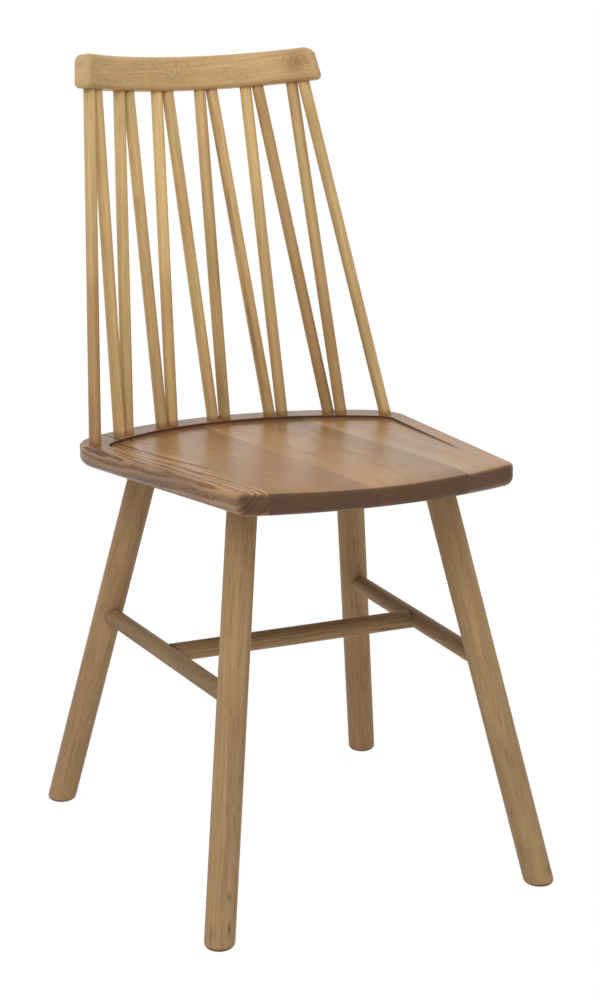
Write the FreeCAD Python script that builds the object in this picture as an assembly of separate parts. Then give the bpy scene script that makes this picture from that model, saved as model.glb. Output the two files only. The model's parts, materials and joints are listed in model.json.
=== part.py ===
import FreeCAD, Part
import os
from math import cos, degrees, radians, sin, sqrt, tan

from FreeCAD import Placement, Rotation, Vector

# Spindle-back dining chair in solid oak. Millimetres and degrees.
# X runs to the right seen from the front, Y towards the back, Z up from the floor.
# Left and right are those of someone who stands in front of the chair.

# Legs: plain turned rods that splay and rake outwards, cut level at the floor
leg_diameter = 31.8
leg_splay = 9.9
leg_rake = 13.9
front_feet_span = 374.0
rear_feet_span = 395.0
front_feet_y = -219.5
rear_feet_y = 228.0
foot_rounding = 5.0
leg_tenon_diameter = 22.0
leg_tenon_length = 13.0

# Stretchers: two from front leg to rear leg, one across between their middles
stretcher_height = 239.0
side_stretcher_diameter = 19.5
side_stretcher_entry = 15.0
cross_stretcher_diameter = 20.4
cross_seat_depth = 5.0
cross_tenon_diameter = 11.0
cross_tenon_length = 9.0

# Seat board, measured in its own plane from a point above the middle of the floor
seat_height = 465.3
seat_pitch = 2.95
seat_thickness = 24.4
seat_back_width = 401.0
seat_front_width = 308.5
seat_back_y = 229.0
seat_front_y = -233.4
seat_back_radius = 298.0
seat_front_radius = 425.0
seat_back_corner = 62.0
seat_front_corner = 14.0
seat_top_rounding = 4.1
seat_bottom_rounding = 11.0
seat_roll_length = 42.0
seat_roll_radius = 250.0
seat_joints_x = (-126.5, -26.0, 90.0)

# Dish of the seat: deepest along the back, fading out towards the front
dish_depth = 4.6
dish_front_y = -110.0
dish_back_margin = 18.0
dish_side_margin = 21.5
dish_corner = 30.0
dish_cove = 4.0

# Spindles: rods in a zigzag, single at the ends of the seat's rim and paired elsewhere
spindle_diameter = 13.5
spindle_tenon_diameter = 10.0
spindle_tenon_length = 14.0
seat_pair_count = 5
seat_pair_pitch = 14.8
seat_pair_angle = 15.5
spindle_arc_radius = 255.0
spindle_back_margin = 20.7
spindle_side_margin = 19.6

# Crest rail: a bent board that leans back over one more pair of spindles
rail_pair_pitch = 14.2
rail_pair_angle = 15.08
rail_setback = 95.6
rail_underside_z = 810.3
rail_lean = 11.8
rail_radius = 204.5
rail_height = 38.0
rail_thickness = 20.4
rail_end_margin = 17.6
rail_bore_offset = 1.5
rail_end_lean = 11.7
rail_top_corner = 11.0
rail_bottom_corner = 6.0
rail_edge_rounding = 5.0
rail_housing_depth = 1.5

# Fits
joint_clearance = 0.15
socket_end_gap = 0.5

# Half size of the blocks that trim the pieces, larger than the chair
trim_reach = 1500.0
# Distance within which an edge counts as lying on a plane
near = 0.01


def seat_frame():
    """Placement of the seat board: its underside, tipped up at the front."""
    rise = seat_front_y * sin(radians(seat_pitch)) - seat_thickness * cos(radians(seat_pitch))
    return Placement(Vector(0, 0, seat_height + rise), Rotation(Vector(1, 0, 0), -seat_pitch))


def rail_frame():
    """Placement of the crest rail: the middle of its underside, leaning back."""
    underside_y = seat_back_y - spindle_back_margin + rail_setback
    return Placement(Vector(0, underside_y, rail_underside_z), Rotation(Vector(1, 0, 0), -rail_lean))


def slab(low, high, frame):
    """A large block between two heights of a frame, to trim what lies there."""
    corner = Vector(-trim_reach, -trim_reach, low)
    block = Part.makeBox(2 * trim_reach, 2 * trim_reach, high - low, corner)
    block.Placement = frame
    return block


def rod(start, end, diameter):
    """A round rod from one point to another."""
    run = end - start
    return Part.makeCylinder(diameter / 2, run.Length, start, run)


def socket(mouth, bottom, diameter):
    """A bored hole with the fit's clearance, from outside its mouth to its bottom."""
    inward = (bottom - mouth).normalize()
    outside = mouth - inward * diameter
    return rod(outside, bottom + inward * socket_end_gap, diameter + 2 * joint_clearance)


def joined(solid, other):
    """One solid fused from two that overlap."""
    return solid.fuse(other).removeSplitter()


def edges_between(shape, low, high):
    """The edges of a shape that lie whole between two heights of its own frame."""
    return [e for e in shape.Edges if e.BoundBox.ZMin > low - near and e.BoundBox.ZMax < high + near]


def polygon_face(points):
    """A flat face inside straight lines through points."""
    return Part.Face(Part.makePolygon(points + points[:1]))


def arc_fall(radius, half_width):
    """How far an arc has fallen from its apex at a half width."""
    return radius - sqrt(radius**2 - half_width**2)


def seat_corners():
    """The sharp right corners of the seat's outline, at the back and at the front."""
    back = seat_back_width / 2
    front = seat_front_width / 2
    back_corner = Vector(back, seat_back_y - arc_fall(seat_back_radius, back))
    front_corner = Vector(front, seat_front_y + arc_fall(seat_front_radius, front))
    return back_corner, front_corner


def on_side_line(y, margin):
    """The point at y of a line that runs along the seat's right side, a margin inside it."""
    back, front = seat_corners()
    slope = (back.x - front.x) / (back.y - front.y)
    return Vector(back.x + slope * (y - back.y) - margin * sqrt(1 + slope**2), y)


def side_line_meets(radius, centre_y, margin):
    """Where a line a margin inside the seat's right side meets an arc centred on the middle line."""
    start = on_side_line(centre_y, margin)
    along = (on_side_line(centre_y + radius, margin) - start).normalize()
    forward = start.x * along.x
    reach = sqrt(forward**2 + radius**2 - start.x**2) - forward
    return start + along * reach


def mirrored(point):
    """The same point on the other side of the chair's middle line."""
    return Vector(-point.x, point.y, point.z)


def seat_outline():
    """The seat's outline with sharp corners: two bowed ends and two straight sides."""
    back, front = seat_corners()
    return Part.Wire(
        [
            Part.Arc(mirrored(back), Vector(0, seat_back_y), back).toShape(),
            Part.LineSegment(back, front).toShape(),
            Part.Arc(front, Vector(0, seat_front_y), mirrored(front)).toShape(),
            Part.LineSegment(mirrored(front), mirrored(back)).toShape(),
        ]
    )


def upright_edges(shape, towards_back):
    """The upright corner edges of a prism, behind or in front of the middle of the seat."""
    found = []
    for edge in shape.Edges:
        box = edge.BoundBox
        if box.XLength < near and box.YLength < near and (box.YMin > 0) == towards_back:
            found.append(edge)
    return found


def side_profile():
    """Side view of the board as a face: flat, with a roll towards its front edge."""
    roll_start = Vector(0, seat_front_y + seat_roll_length, seat_thickness)
    past_front = seat_front_y - seat_roll_length
    past_back = seat_back_y + seat_roll_length
    overhang = roll_start.y - past_front
    roll_middle = roll_start - Vector(0, overhang / 2, arc_fall(seat_roll_radius, overhang / 2))
    roll_end = roll_start - Vector(0, overhang, arc_fall(seat_roll_radius, overhang))
    corners = [
        roll_end,
        Vector(0, past_front, 0),
        Vector(0, past_back, 0),
        Vector(0, past_back, seat_thickness),
        roll_start,
    ]
    edges = [Part.LineSegment(a, b).toShape() for a, b in zip(corners, corners[1:])]
    edges.append(Part.Arc(roll_start, roll_middle, roll_end).toShape())
    return Part.Face(Part.Wire(edges))


def across(face):
    """A face of the side view made as wide as the trimming blocks."""
    face.translate(Vector(-trim_reach, 0, 0))
    return face.extrude(Vector(2 * trim_reach, 0, 0))


def seat_blank():
    """The board with its outline, front roll and rounded edges, before the dish and the holes."""
    blank = Part.Face(seat_outline()).extrude(Vector(0, 0, seat_thickness))
    blank = blank.makeFillet(seat_back_corner, upright_edges(blank, True))
    blank = blank.makeFillet(seat_front_corner, upright_edges(blank, False))
    blank = blank.common(across(side_profile())).removeSplitter()
    middle = seat_thickness / 2
    blank = blank.makeFillet(seat_bottom_rounding, edges_between(blank, 0, middle))
    return blank.makeFillet(seat_top_rounding, edges_between(blank, middle, seat_thickness))


def dish_tool():
    """What the dish takes out: a bowed outline over a sloping floor, with a cove where they meet."""
    radius = spindle_arc_radius - dish_back_margin
    centre_y = spindle_arc_centre_y()
    corner = side_line_meets(radius, centre_y, dish_side_margin)
    front = on_side_line(seat_front_y, dish_side_margin)
    apex = Vector(0, centre_y + radius)
    outline = Part.Wire(
        [
            Part.Arc(mirrored(corner), apex, corner).toShape(),
            Part.LineSegment(corner, front).toShape(),
            Part.LineSegment(front, mirrored(front)).toShape(),
            Part.LineSegment(mirrored(front), mirrored(corner)).toShape(),
        ]
    )
    above = 2 * seat_thickness
    prism = Part.Face(outline).extrude(Vector(0, 0, above))
    prism = prism.makeFillet(dish_corner, upright_edges(prism, True))
    fall = dish_depth / (apex.y - dish_front_y)

    def floor_point(y):
        return Vector(0, y, seat_thickness - fall * (y - dish_front_y))

    ahead = floor_point(front.y - dish_cove)
    behind = floor_point(apex.y + dish_cove)
    over_floor = [ahead, behind, Vector(0, behind.y, above), Vector(0, ahead.y, above)]
    tool = prism.common(across(polygon_face(over_floor))).removeSplitter()
    coved = [e for e in edges_between(tool, 0, ahead.z) if e.BoundBox.YMax > front.y + near]
    return tool.makeFillet(dish_cove, coved)


def leg_line(side, front):
    """Foot centre on the floor and upward direction of one leg's axis."""
    span = front_feet_span if front else rear_feet_span
    foot = Vector(side * span / 2, front_feet_y if front else rear_feet_y, 0)
    inwards = 1 if front else -1
    lean = Vector(-side * tan(radians(leg_splay)), inwards * tan(radians(leg_rake)), 1)
    return foot, lean.normalize()


def on_leg(side, front, height):
    """The point of a leg's axis at a height above the floor."""
    foot, lean = leg_line(side, front)
    return foot + lean * (height / lean.z)


def leg_shoulder(side, front):
    """Where a leg's axis meets the underside of the seat."""
    foot, lean = leg_line(side, front)
    frame = seat_frame()
    normal = frame.Rotation.multVec(Vector(0, 0, 1))
    return foot + lean * ((frame.Base - foot).dot(normal) / lean.dot(normal))


def leg_tenon_end(side, front):
    """The middle of the top end of a leg's tenon."""
    return leg_shoulder(side, front) + leg_line(side, front)[1] * leg_tenon_length


def stretcher_line(side):
    """Front and rear ends of one side stretcher's axis, inside the legs."""
    front = on_leg(side, True, stretcher_height)
    rear = on_leg(side, False, stretcher_height)
    along = (rear - front).normalize()
    ends = []
    for point, is_front, inward in ((front, True, along), (rear, False, along * -1)):
        lean = leg_line(side, is_front)[1]
        skin = leg_diameter / 2 / along.cross(lean).Length
        ends.append(point + inward * (skin - side_stretcher_entry))
    return ends


def cross_shoulder(side):
    """The middle of the cross stretcher's shoulder at one side stretcher."""
    front = on_leg(side, True, stretcher_height)
    rear = on_leg(side, False, stretcher_height)
    sunk = side_stretcher_diameter / 2 - cross_seat_depth
    return (front + rear) / 2 - Vector(side * sunk, 0, 0)


def make_leg(side, front):
    """A leg: a rod with a rounded foot, a tenon at its top and a bored hole for its stretcher."""
    foot, lean = leg_line(side, front)
    shoulder = leg_shoulder(side, front)
    shaft = rod(foot - lean * leg_diameter, shoulder + lean * leg_diameter, leg_diameter)
    shaft = shaft.cut(slab(-trim_reach, 0, Placement())).cut(slab(0, trim_reach, seat_frame()))
    shaft = shaft.makeFillet(foot_rounding, edges_between(shaft, 0, 0))
    tenon = rod(shoulder - lean * leg_tenon_length, leg_tenon_end(side, front), leg_tenon_diameter)
    ends = stretcher_line(side)
    this_end, other_end = ends if front else ends[::-1]
    mouth = this_end + (other_end - this_end).normalize() * side_stretcher_entry
    return joined(shaft, tenon).cut(socket(mouth, this_end, side_stretcher_diameter))


def make_side_stretcher(side):
    """A rod between two legs, with a flat seat and a bored hole for the cross stretcher."""
    front, rear = stretcher_line(side)
    shoulder = cross_shoulder(side)
    outwards = Vector(side, 0, 0)
    seat_diameter = cross_stretcher_diameter + 2 * joint_clearance
    seat = rod(shoulder, shoulder - outwards * side_stretcher_diameter, seat_diameter)
    hole = socket(shoulder, shoulder + outwards * cross_tenon_length, cross_tenon_diameter)
    return rod(front, rear, side_stretcher_diameter).cut(seat).cut(hole)


def make_cross_stretcher():
    """The rod between the side stretchers, with a tenon at each end."""
    left = cross_shoulder(-1)
    right = cross_shoulder(1)
    reach = Vector(cross_tenon_length, 0, 0)
    body = rod(left, right, cross_stretcher_diameter)
    return joined(body, rod(left - reach, right + reach, cross_tenon_diameter))


def spindle_arc_centre_y():
    """Where, in the seat's plane, the arc on which the spindles stand has its centre."""
    return seat_back_y - spindle_back_margin - spindle_arc_radius


def pair_angles(count, step, pitch, radius):
    """Angles round an arc of the spindles of evenly spaced pairs, from left to right."""
    half_pitch = degrees(pitch / radius / 2)
    middles = [step * (i - (count - 1) / 2) for i in range(count)]
    return [middle + turn for middle in middles for turn in (-half_pitch, half_pitch)]


def rail_bore_radius():
    """Radius of the arc of bores under the crest rail, a little behind the middle of its thickness."""
    return rail_radius + rail_bore_offset


def rail_angles():
    """Angles round the crest rail at which spindles end."""
    return pair_angles(seat_pair_count + 1, rail_pair_angle, rail_pair_pitch, rail_bore_radius())


def seat_stations():
    """Points on the seat's rim where spindles stand, left to right: one, the pairs, one."""
    centre_y = spindle_arc_centre_y()
    last = side_line_meets(spindle_arc_radius, centre_y, spindle_side_margin)
    points = [mirrored(last)]
    for angle in pair_angles(seat_pair_count, seat_pair_angle, seat_pair_pitch, spindle_arc_radius):
        turn = radians(angle)
        points.append(Vector(sin(turn), cos(turn)) * spindle_arc_radius + Vector(0, centre_y))
    points.append(last)
    top = Vector(0, 0, seat_thickness)
    return [seat_frame().multVec(point + top) for point in points]


def rail_stations():
    """Points under the crest rail where spindles end, left to right: all in pairs."""
    points = []
    for angle in rail_angles():
        turn = radians(angle)
        points.append(Vector(sin(turn), cos(turn)) * rail_bore_radius() - Vector(0, rail_radius))
    return [rail_frame().multVec(point) for point in points]


def make_spindle(low, high):
    """A rod from the seat's rim to the crest rail, with a tenon at each end."""
    along = (high - low).normalize()
    spare = along * spindle_diameter
    body = rod(low - spare, high + spare, spindle_diameter)
    body = body.cut(slab(seat_thickness - trim_reach, seat_thickness, seat_frame()))
    body = body.cut(slab(rail_housing_depth, trim_reach, rail_frame()))
    reach = along * spindle_tenon_length
    return joined(body, rod(low - reach, high + reach, spindle_tenon_diameter))


def rail_housing(mouth, bottom):
    """A shallow flat-bottomed recess under the crest rail that takes a spindle's full round."""
    reach = (bottom - mouth).normalize() * spindle_diameter
    recess = rod(mouth - reach, mouth + reach, spindle_diameter + 2 * joint_clearance)
    return recess.common(slab(-trim_reach, rail_housing_depth, rail_frame()))


def rail_end_waste(side):
    """What is cut off one end of the bent board, along a plane that leans in at the top."""
    half_angle = rail_angles()[-1] + degrees(rail_end_margin / rail_radius)
    turn = Rotation(Vector(0, 0, 1), -side * half_angle)
    middle = Vector(0, -rail_radius, rail_height / 2) + turn.multVec(Vector(0, rail_radius, 0))
    lean = Rotation(Vector(0, 1, 0), -side * rail_end_lean)
    corner = Vector(0 if side > 0 else -rail_radius, -rail_radius / 2, -rail_radius)
    waste = Part.makeBox(rail_radius, rail_radius, 2 * rail_radius, corner)
    waste.Placement = Placement(middle, turn.multiply(lean))
    return waste


def make_crest_rail(spindle_ends):
    """The bent board with rounded ends, bored from below for the spindles."""
    half = rail_thickness / 2
    section = [
        Vector(0, -half, 0),
        Vector(0, half, 0),
        Vector(0, half, rail_height),
        Vector(0, -half, rail_height),
    ]
    centre = Vector(0, -rail_radius, 0)
    up = Vector(0, 0, 1)
    half_sweep = 90
    start = polygon_face(section)
    start.rotate(centre, up, -half_sweep)
    board = start.revolve(centre, up, 2 * half_sweep)
    for side in (-1, 1):
        board = board.cut(rail_end_waste(side))
    board = board.makeFillet(rail_top_corner, rail_end_edges(board, rail_height))
    board = board.makeFillet(rail_bottom_corner, rail_end_edges(board, 0))
    outline = []
    for face in board.Faces:
        if rail_face(face):
            outline.extend(face.OuterWire.Edges)
    board = board.makeFillet(rail_edge_rounding, outline)
    board.Placement = rail_frame()
    for mouth, bottom in spindle_ends:
        board = board.cut(rail_housing(mouth, bottom))
        board = board.cut(socket(mouth, bottom, spindle_tenon_diameter))
    return board


def rail_end_edges(board, height):
    """The two straight edges across the ends of the board at its top or its underside."""
    level = edges_between(board, height, height)
    return [e for e in level if e.Curve.TypeId == "Part::GeomLine"]


def rail_face(face):
    """Whether a face of the board is its front or its back."""
    bent = face.Surface.TypeId == "Part::GeomCylinder"
    return bent and abs(face.Surface.Radius - rail_radius) < rail_thickness


def make_seat_staves(spindle_ends):
    """The seat board, dished, bored and cut along its glue joints into staves."""
    seat = seat_blank().cut(dish_tool())
    seat.Placement = seat_frame()
    for mouth, bottom in spindle_ends:
        seat = seat.cut(socket(mouth, bottom, spindle_tenon_diameter))
    for side in (-1, 1):
        for front in (True, False):
            mouth = leg_shoulder(side, front)
            seat = seat.cut(socket(mouth, leg_tenon_end(side, front), leg_tenon_diameter))
    staves = []
    bounds = (-trim_reach,) + seat_joints_x + (trim_reach,)
    for left, right in zip(bounds, bounds[1:]):
        corner = Vector(left, -trim_reach, -trim_reach)
        staves.append(seat.common(Part.makeBox(right - left, 2 * trim_reach, 2 * trim_reach, corner)))
    return staves


def build():
    """Every piece of the chair by name."""
    parts = {}
    ends_below = []
    ends_above = []
    for number, (low, high) in enumerate(zip(seat_stations(), rail_stations()), 1):
        reach = (high - low).normalize() * spindle_tenon_length
        ends_below.append((low, low - reach))
        ends_above.append((high, high + reach))
        parts[f"spindle_{number:02d}"] = make_spindle(low, high)
    stave_names = ("left_outer", "left_inner", "right_inner", "right_outer")
    for name, stave in zip(stave_names, make_seat_staves(ends_below)):
        parts[f"seat_stave_{name}"] = stave
    parts["crest_rail"] = make_crest_rail(ends_above)
    for side, side_name in ((-1, "left"), (1, "right")):
        parts[f"leg_front_{side_name}"] = make_leg(side, True)
        parts[f"leg_rear_{side_name}"] = make_leg(side, False)
        parts[f"side_stretcher_{side_name}"] = make_side_stretcher(side)
    parts["cross_stretcher"] = make_cross_stretcher()
    return parts


def export(parts):
    """Writes each piece, with the origin on the floor under the middle of the chair's box."""
    box = Part.makeCompound(list(parts.values())).optimalBoundingBox()
    shift = Vector(-box.Center.x, -box.Center.y, -box.ZMin)
    os.makedirs("parts", exist_ok=True)
    for name, shape in parts.items():
        shape.translate(shift)
        shape.exportStep(f"parts/{name}.step")
        print(f"{name}: {len(shape.Solids)} solid, {shape.Volume:.0f} mm3, valid {shape.isValid()}")
    print(f"box {box.XLength:.1f} x {box.YLength:.1f} x {box.ZLength:.1f}, moved by {shift.y:.2f} in Y")


export(build())
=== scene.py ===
"""Looks of a spindle-back dining chair in solid oak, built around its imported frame.

Metres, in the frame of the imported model: X runs to the right seen from the front, Y towards
the back and Z up from the floor. Each piece is shaped as its maker shapes it: the rods are
turned and trimmed, the crest rail is planed straight and then bent, and the seat board is
glued up, rounded, dished and cut along its glue joints.
"""

import json
import logging
import math
from dataclasses import dataclass, field, replace
from enum import Enum
from typing import Iterator, Union

import bmesh
import bpy
from bmesh.types import BMEdge, BMesh, BMFace, BMVert
from bpy.types import Material, Mesh, Node, NodeSocket, NodeTree, Object, Scene
from mathutils import Matrix, Vector


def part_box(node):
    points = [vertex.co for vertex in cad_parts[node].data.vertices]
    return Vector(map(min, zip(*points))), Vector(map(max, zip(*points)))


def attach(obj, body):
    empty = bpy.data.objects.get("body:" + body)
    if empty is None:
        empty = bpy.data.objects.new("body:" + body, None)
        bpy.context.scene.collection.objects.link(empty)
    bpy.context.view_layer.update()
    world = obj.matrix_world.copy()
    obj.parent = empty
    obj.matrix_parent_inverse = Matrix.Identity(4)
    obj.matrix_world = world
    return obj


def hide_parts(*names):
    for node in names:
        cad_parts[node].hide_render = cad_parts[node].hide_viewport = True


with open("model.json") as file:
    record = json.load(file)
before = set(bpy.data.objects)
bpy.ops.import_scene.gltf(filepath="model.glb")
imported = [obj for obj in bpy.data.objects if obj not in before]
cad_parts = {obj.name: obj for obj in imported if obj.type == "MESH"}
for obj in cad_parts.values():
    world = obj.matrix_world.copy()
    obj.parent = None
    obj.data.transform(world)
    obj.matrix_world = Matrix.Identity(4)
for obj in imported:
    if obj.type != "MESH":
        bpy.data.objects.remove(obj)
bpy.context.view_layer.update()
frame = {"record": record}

LOG = logging.getLogger("chair")

UP = Vector((0.0, 0.0, 1.0))
RIGHT = Vector((1.0, 0.0, 0.0))
BACK = Vector((0.0, 1.0, 0.0))

# Points nearer to each other than this are one point.
MERGE = 1e-6

# Two directions are one when the cosine between them is above this.
ALIGNED = 0.99

Value = Union[float, NodeSocket]
Colour = tuple[float, float, float, float]

WHITE: Colour = (1.0, 1.0, 1.0, 1.0)


class Slot(Enum):
    """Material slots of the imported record."""

    SPINDLES = "oak_spindles"
    SEAT = "oak_seat"
    CREST = "oak_crest"
    BASE = "oak_base"


class Mark(Enum):
    """Attributes that pieces carry for their finish.

    TIMBER is a point's place in its log and ENDWISE how far it faces along the grain. TONE is its
    brightness and RED, OLIVE and SAP are shares of other colours; TONE and RED also carry painted shade
    and painted warm light thrown back from the seat in a few places. BOLD is how far its rings stand out.
    The stain mark holds the oil and dirt in the seat's cove together with painted shade there, and RIM
    how far out on the seat's dish a point lies.
    """

    TIMBER = "timber"
    ENDWISE = "endwise"
    TONE = "tone"
    RED = "red"
    OLIVE = "olive"
    BOLD = "bold"
    SAP = "sap"
    STAIN_AND_SHADE = "stain_and_shade"
    RIM = "rim"


def tint(red: int, green: int, blue: int) -> Colour:
    """A colour as it is seen on a screen, in 0 to 255, made linear for a shader.

    Args:
        red: Red as seen.
        green: Green as seen.
        blue: Blue as seen.

    Returns:
        The linear colour with full alpha.
    """
    seen = [channel / 255 for channel in (red, green, blue)]
    plain = [c / 12.92 if c <= 0.04045 else ((c + 0.055) / 1.055) ** 2.4 for c in seen]
    return (plain[0], plain[1], plain[2], 1.0)


@dataclass(frozen=True)
class Figure:
    """A pattern of soft lumps in the wood.

    Attributes:
        lumps: How many lumps go to a metre across, through and along the grain.
        detail: How many finer layers the lumps have.
        low: Where the pattern begins to show.
        high: Where it shows in full.
    """

    lumps: tuple[float, float, float]
    detail: float = 2.0
    low: float = 0.0
    high: float = 1.0


class Graph:
    """A node tree, with short ways to add the nodes that wood needs."""

    def __init__(self, tree: NodeTree) -> None:
        """Empties a tree and holds it."""
        self.tree = tree
        tree.nodes.clear()

    def add(self, kind: str, **settings: object) -> Node:
        """Adds a node and sets its properties.

        Args:
            kind: The type of the node.
            settings: Its properties, by name.

        Returns:
            The new node.
        """
        node = self.tree.nodes.new(kind)
        for name, value in settings.items():
            setattr(node, name, value)
        return node

    def feed(self, socket: NodeSocket, value: object) -> None:
        """Links a socket to another, or sets it to a plain value.

        Args:
            socket: The input.
            value: An output to link it to, or its value.
        """
        if isinstance(value, NodeSocket):
            self.tree.links.new(value, socket)
        else:
            socket.default_value = value

    def attribute(self, mark: Mark) -> Node:
        """A node that reads one of the pieces' attributes."""
        return self.add("ShaderNodeAttribute", attribute_name=mark.value)

    def value(self, mark: Mark) -> NodeSocket:
        """One of the pieces' attributes as a number."""
        return self.attribute(mark).outputs["Fac"]

    def maths(self, operation: str, *values: Value) -> NodeSocket:
        """The result of a Math node on one to three values.

        Args:
            operation: What the node does.
            values: Its inputs.

        Returns:
            Its output.
        """
        node = self.add("ShaderNodeMath", operation=operation)
        for socket, value in zip(node.inputs, values):
            self.feed(socket, value)
        return node.outputs[0]

    def times(self, first: Value, second: Value) -> NodeSocket:
        """The product of two values."""
        return self.maths("MULTIPLY", first, second)

    def add_to(self, rest: Value, value: Value, factor: Value) -> NodeSocket:
        """A value times a factor, added to the rest."""
        return self.maths("MULTIPLY_ADD", value, factor, rest)

    def stretch(self, place: NodeSocket, scale: tuple[float, float, float]) -> NodeSocket:
        """A vector with each of its parts multiplied.

        Args:
            place: The vector.
            scale: The three factors.

        Returns:
            The new vector.
        """
        node = self.add("ShaderNodeVectorMath", operation="MULTIPLY")
        self.feed(node.inputs[0], place)
        node.inputs[1].default_value = scale
        return node.outputs[0]

    def length(self, vector: NodeSocket) -> NodeSocket:
        """The length of a vector.

        Args:
            vector: The vector.

        Returns:
            Its length.
        """
        node = self.add("ShaderNodeVectorMath", operation="LENGTH")
        self.feed(node.inputs[0], vector)
        return node.outputs["Value"]

    def noise(self, place: NodeSocket, figure: Figure) -> NodeSocket:
        """Smooth noise with a figure's lumps.

        Args:
            place: Where a point lies in its log.
            figure: The size and detail of the lumps.

        Returns:
            The noise, from 0 to 1.
        """
        node = self.add("ShaderNodeTexNoise", noise_dimensions="3D")
        self.feed(node.inputs["Vector"], self.stretch(place, figure.lumps))
        node.inputs["Scale"].default_value = 1.0
        node.inputs["Detail"].default_value = figure.detail
        return node.outputs["Fac"]

    def pattern(self, place: NodeSocket, figure: Figure) -> NodeSocket:
        """How much of a figure shows at a place, from 0 to 1."""
        return self.between(self.noise(place, figure), figure.low, figure.high)

    def between(self, value: Value, low: float, high: float) -> NodeSocket:
        """A smooth step that rises from 0 to 1 as a value goes from low to high.

        Args:
            value: The value.
            low: Where the step begins.
            high: Where it ends.

        Returns:
            The step.
        """
        node = self.add("ShaderNodeMapRange", interpolation_type="SMOOTHSTEP")
        self.feed(node.inputs["Value"], value)
        node.inputs["From Min"].default_value = low
        node.inputs["From Max"].default_value = high
        return node.outputs["Result"]

    def ramp(self, share: Value, stops: tuple[tuple[float, float], ...]) -> NodeSocket:
        """A grey curve through a few stops.

        Args:
            share: Where on the curve, from 0 to 1.
            stops: Pairs of a place on the curve and its grey there.

        Returns:
            The grey as a colour socket.
        """
        node = self.add("ShaderNodeValToRGB")
        self.feed(node.inputs["Fac"], share)
        elements = node.color_ramp.elements
        while len(elements) < len(stops):
            elements.new(0.5)
        for element, (place, grey) in zip(elements, stops):
            element.position = place
            element.color = (grey, grey, grey, 1.0)
        return node.outputs["Color"]

    def mix(self, share: Value, first: object, second: object) -> NodeSocket:
        """A colour between two others.

        Args:
            share: How much of the second colour shows.
            first: The first colour.
            second: The second colour.

        Returns:
            The mixed colour.
        """
        node = self.add("ShaderNodeMix", data_type="RGBA", clamp_factor=True)
        sockets = {socket.identifier: socket for socket in node.inputs}
        self.feed(sockets["Factor_Float"], share)
        self.feed(sockets["A_Color"], first)
        self.feed(sockets["B_Color"], second)
        return next(s for s in node.outputs if s.identifier == "Result_Color")

    def shade(self, colour: NodeSocket, by: Value) -> NodeSocket:
        """A colour made lighter or darker by a factor.

        Args:
            colour: The colour.
            by: The factor.

        Returns:
            The new colour.
        """
        node = self.add("ShaderNodeVectorMath", operation="SCALE")
        self.feed(node.inputs[0], colour)
        self.feed(node.inputs["Scale"], by)
        return node.outputs[0]


# Patterns that all the finishes share.
FIBRES = Figure((1300.0, 1300.0, 20.0), 3.0)
CLOUDS = Figure((22.0, 22.0, 6.0))
STREAKS = Figure((150.0, 150.0, 2.5), 3.0)
PORE_ROWS = Figure((420.0, 420.0, 34.0), low=0.50, high=0.66)
WARM_PATCHES = Figure((26.0, 26.0, 10.0), low=0.48, high=0.72)
OLIVE_PATCHES = Figure((34.0, 34.0, 7.0), low=0.48, high=0.72)
SAP_EDGE = Figure((60.0, 60.0, 9.0), low=0.5, high=1.1)
TICKS = Figure((900.0, 1250.0, 240.0), 1.0, 0.48, 0.60)
TICK_SIDES = Figure((20.0, 60.0, 30.0), low=0.46, high=0.54)
TICK_PATCHES = Figure((20.0, 40.0, 14.0), low=0.32, high=0.56)

# How much of the earlywood shows from the start of a year's ring to its end.
RING_PROFILE = ((0.0, 0.0), (0.12, 1.0), (0.5, 0.8), (0.75, 0.25), (0.92, 0.0))


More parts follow.
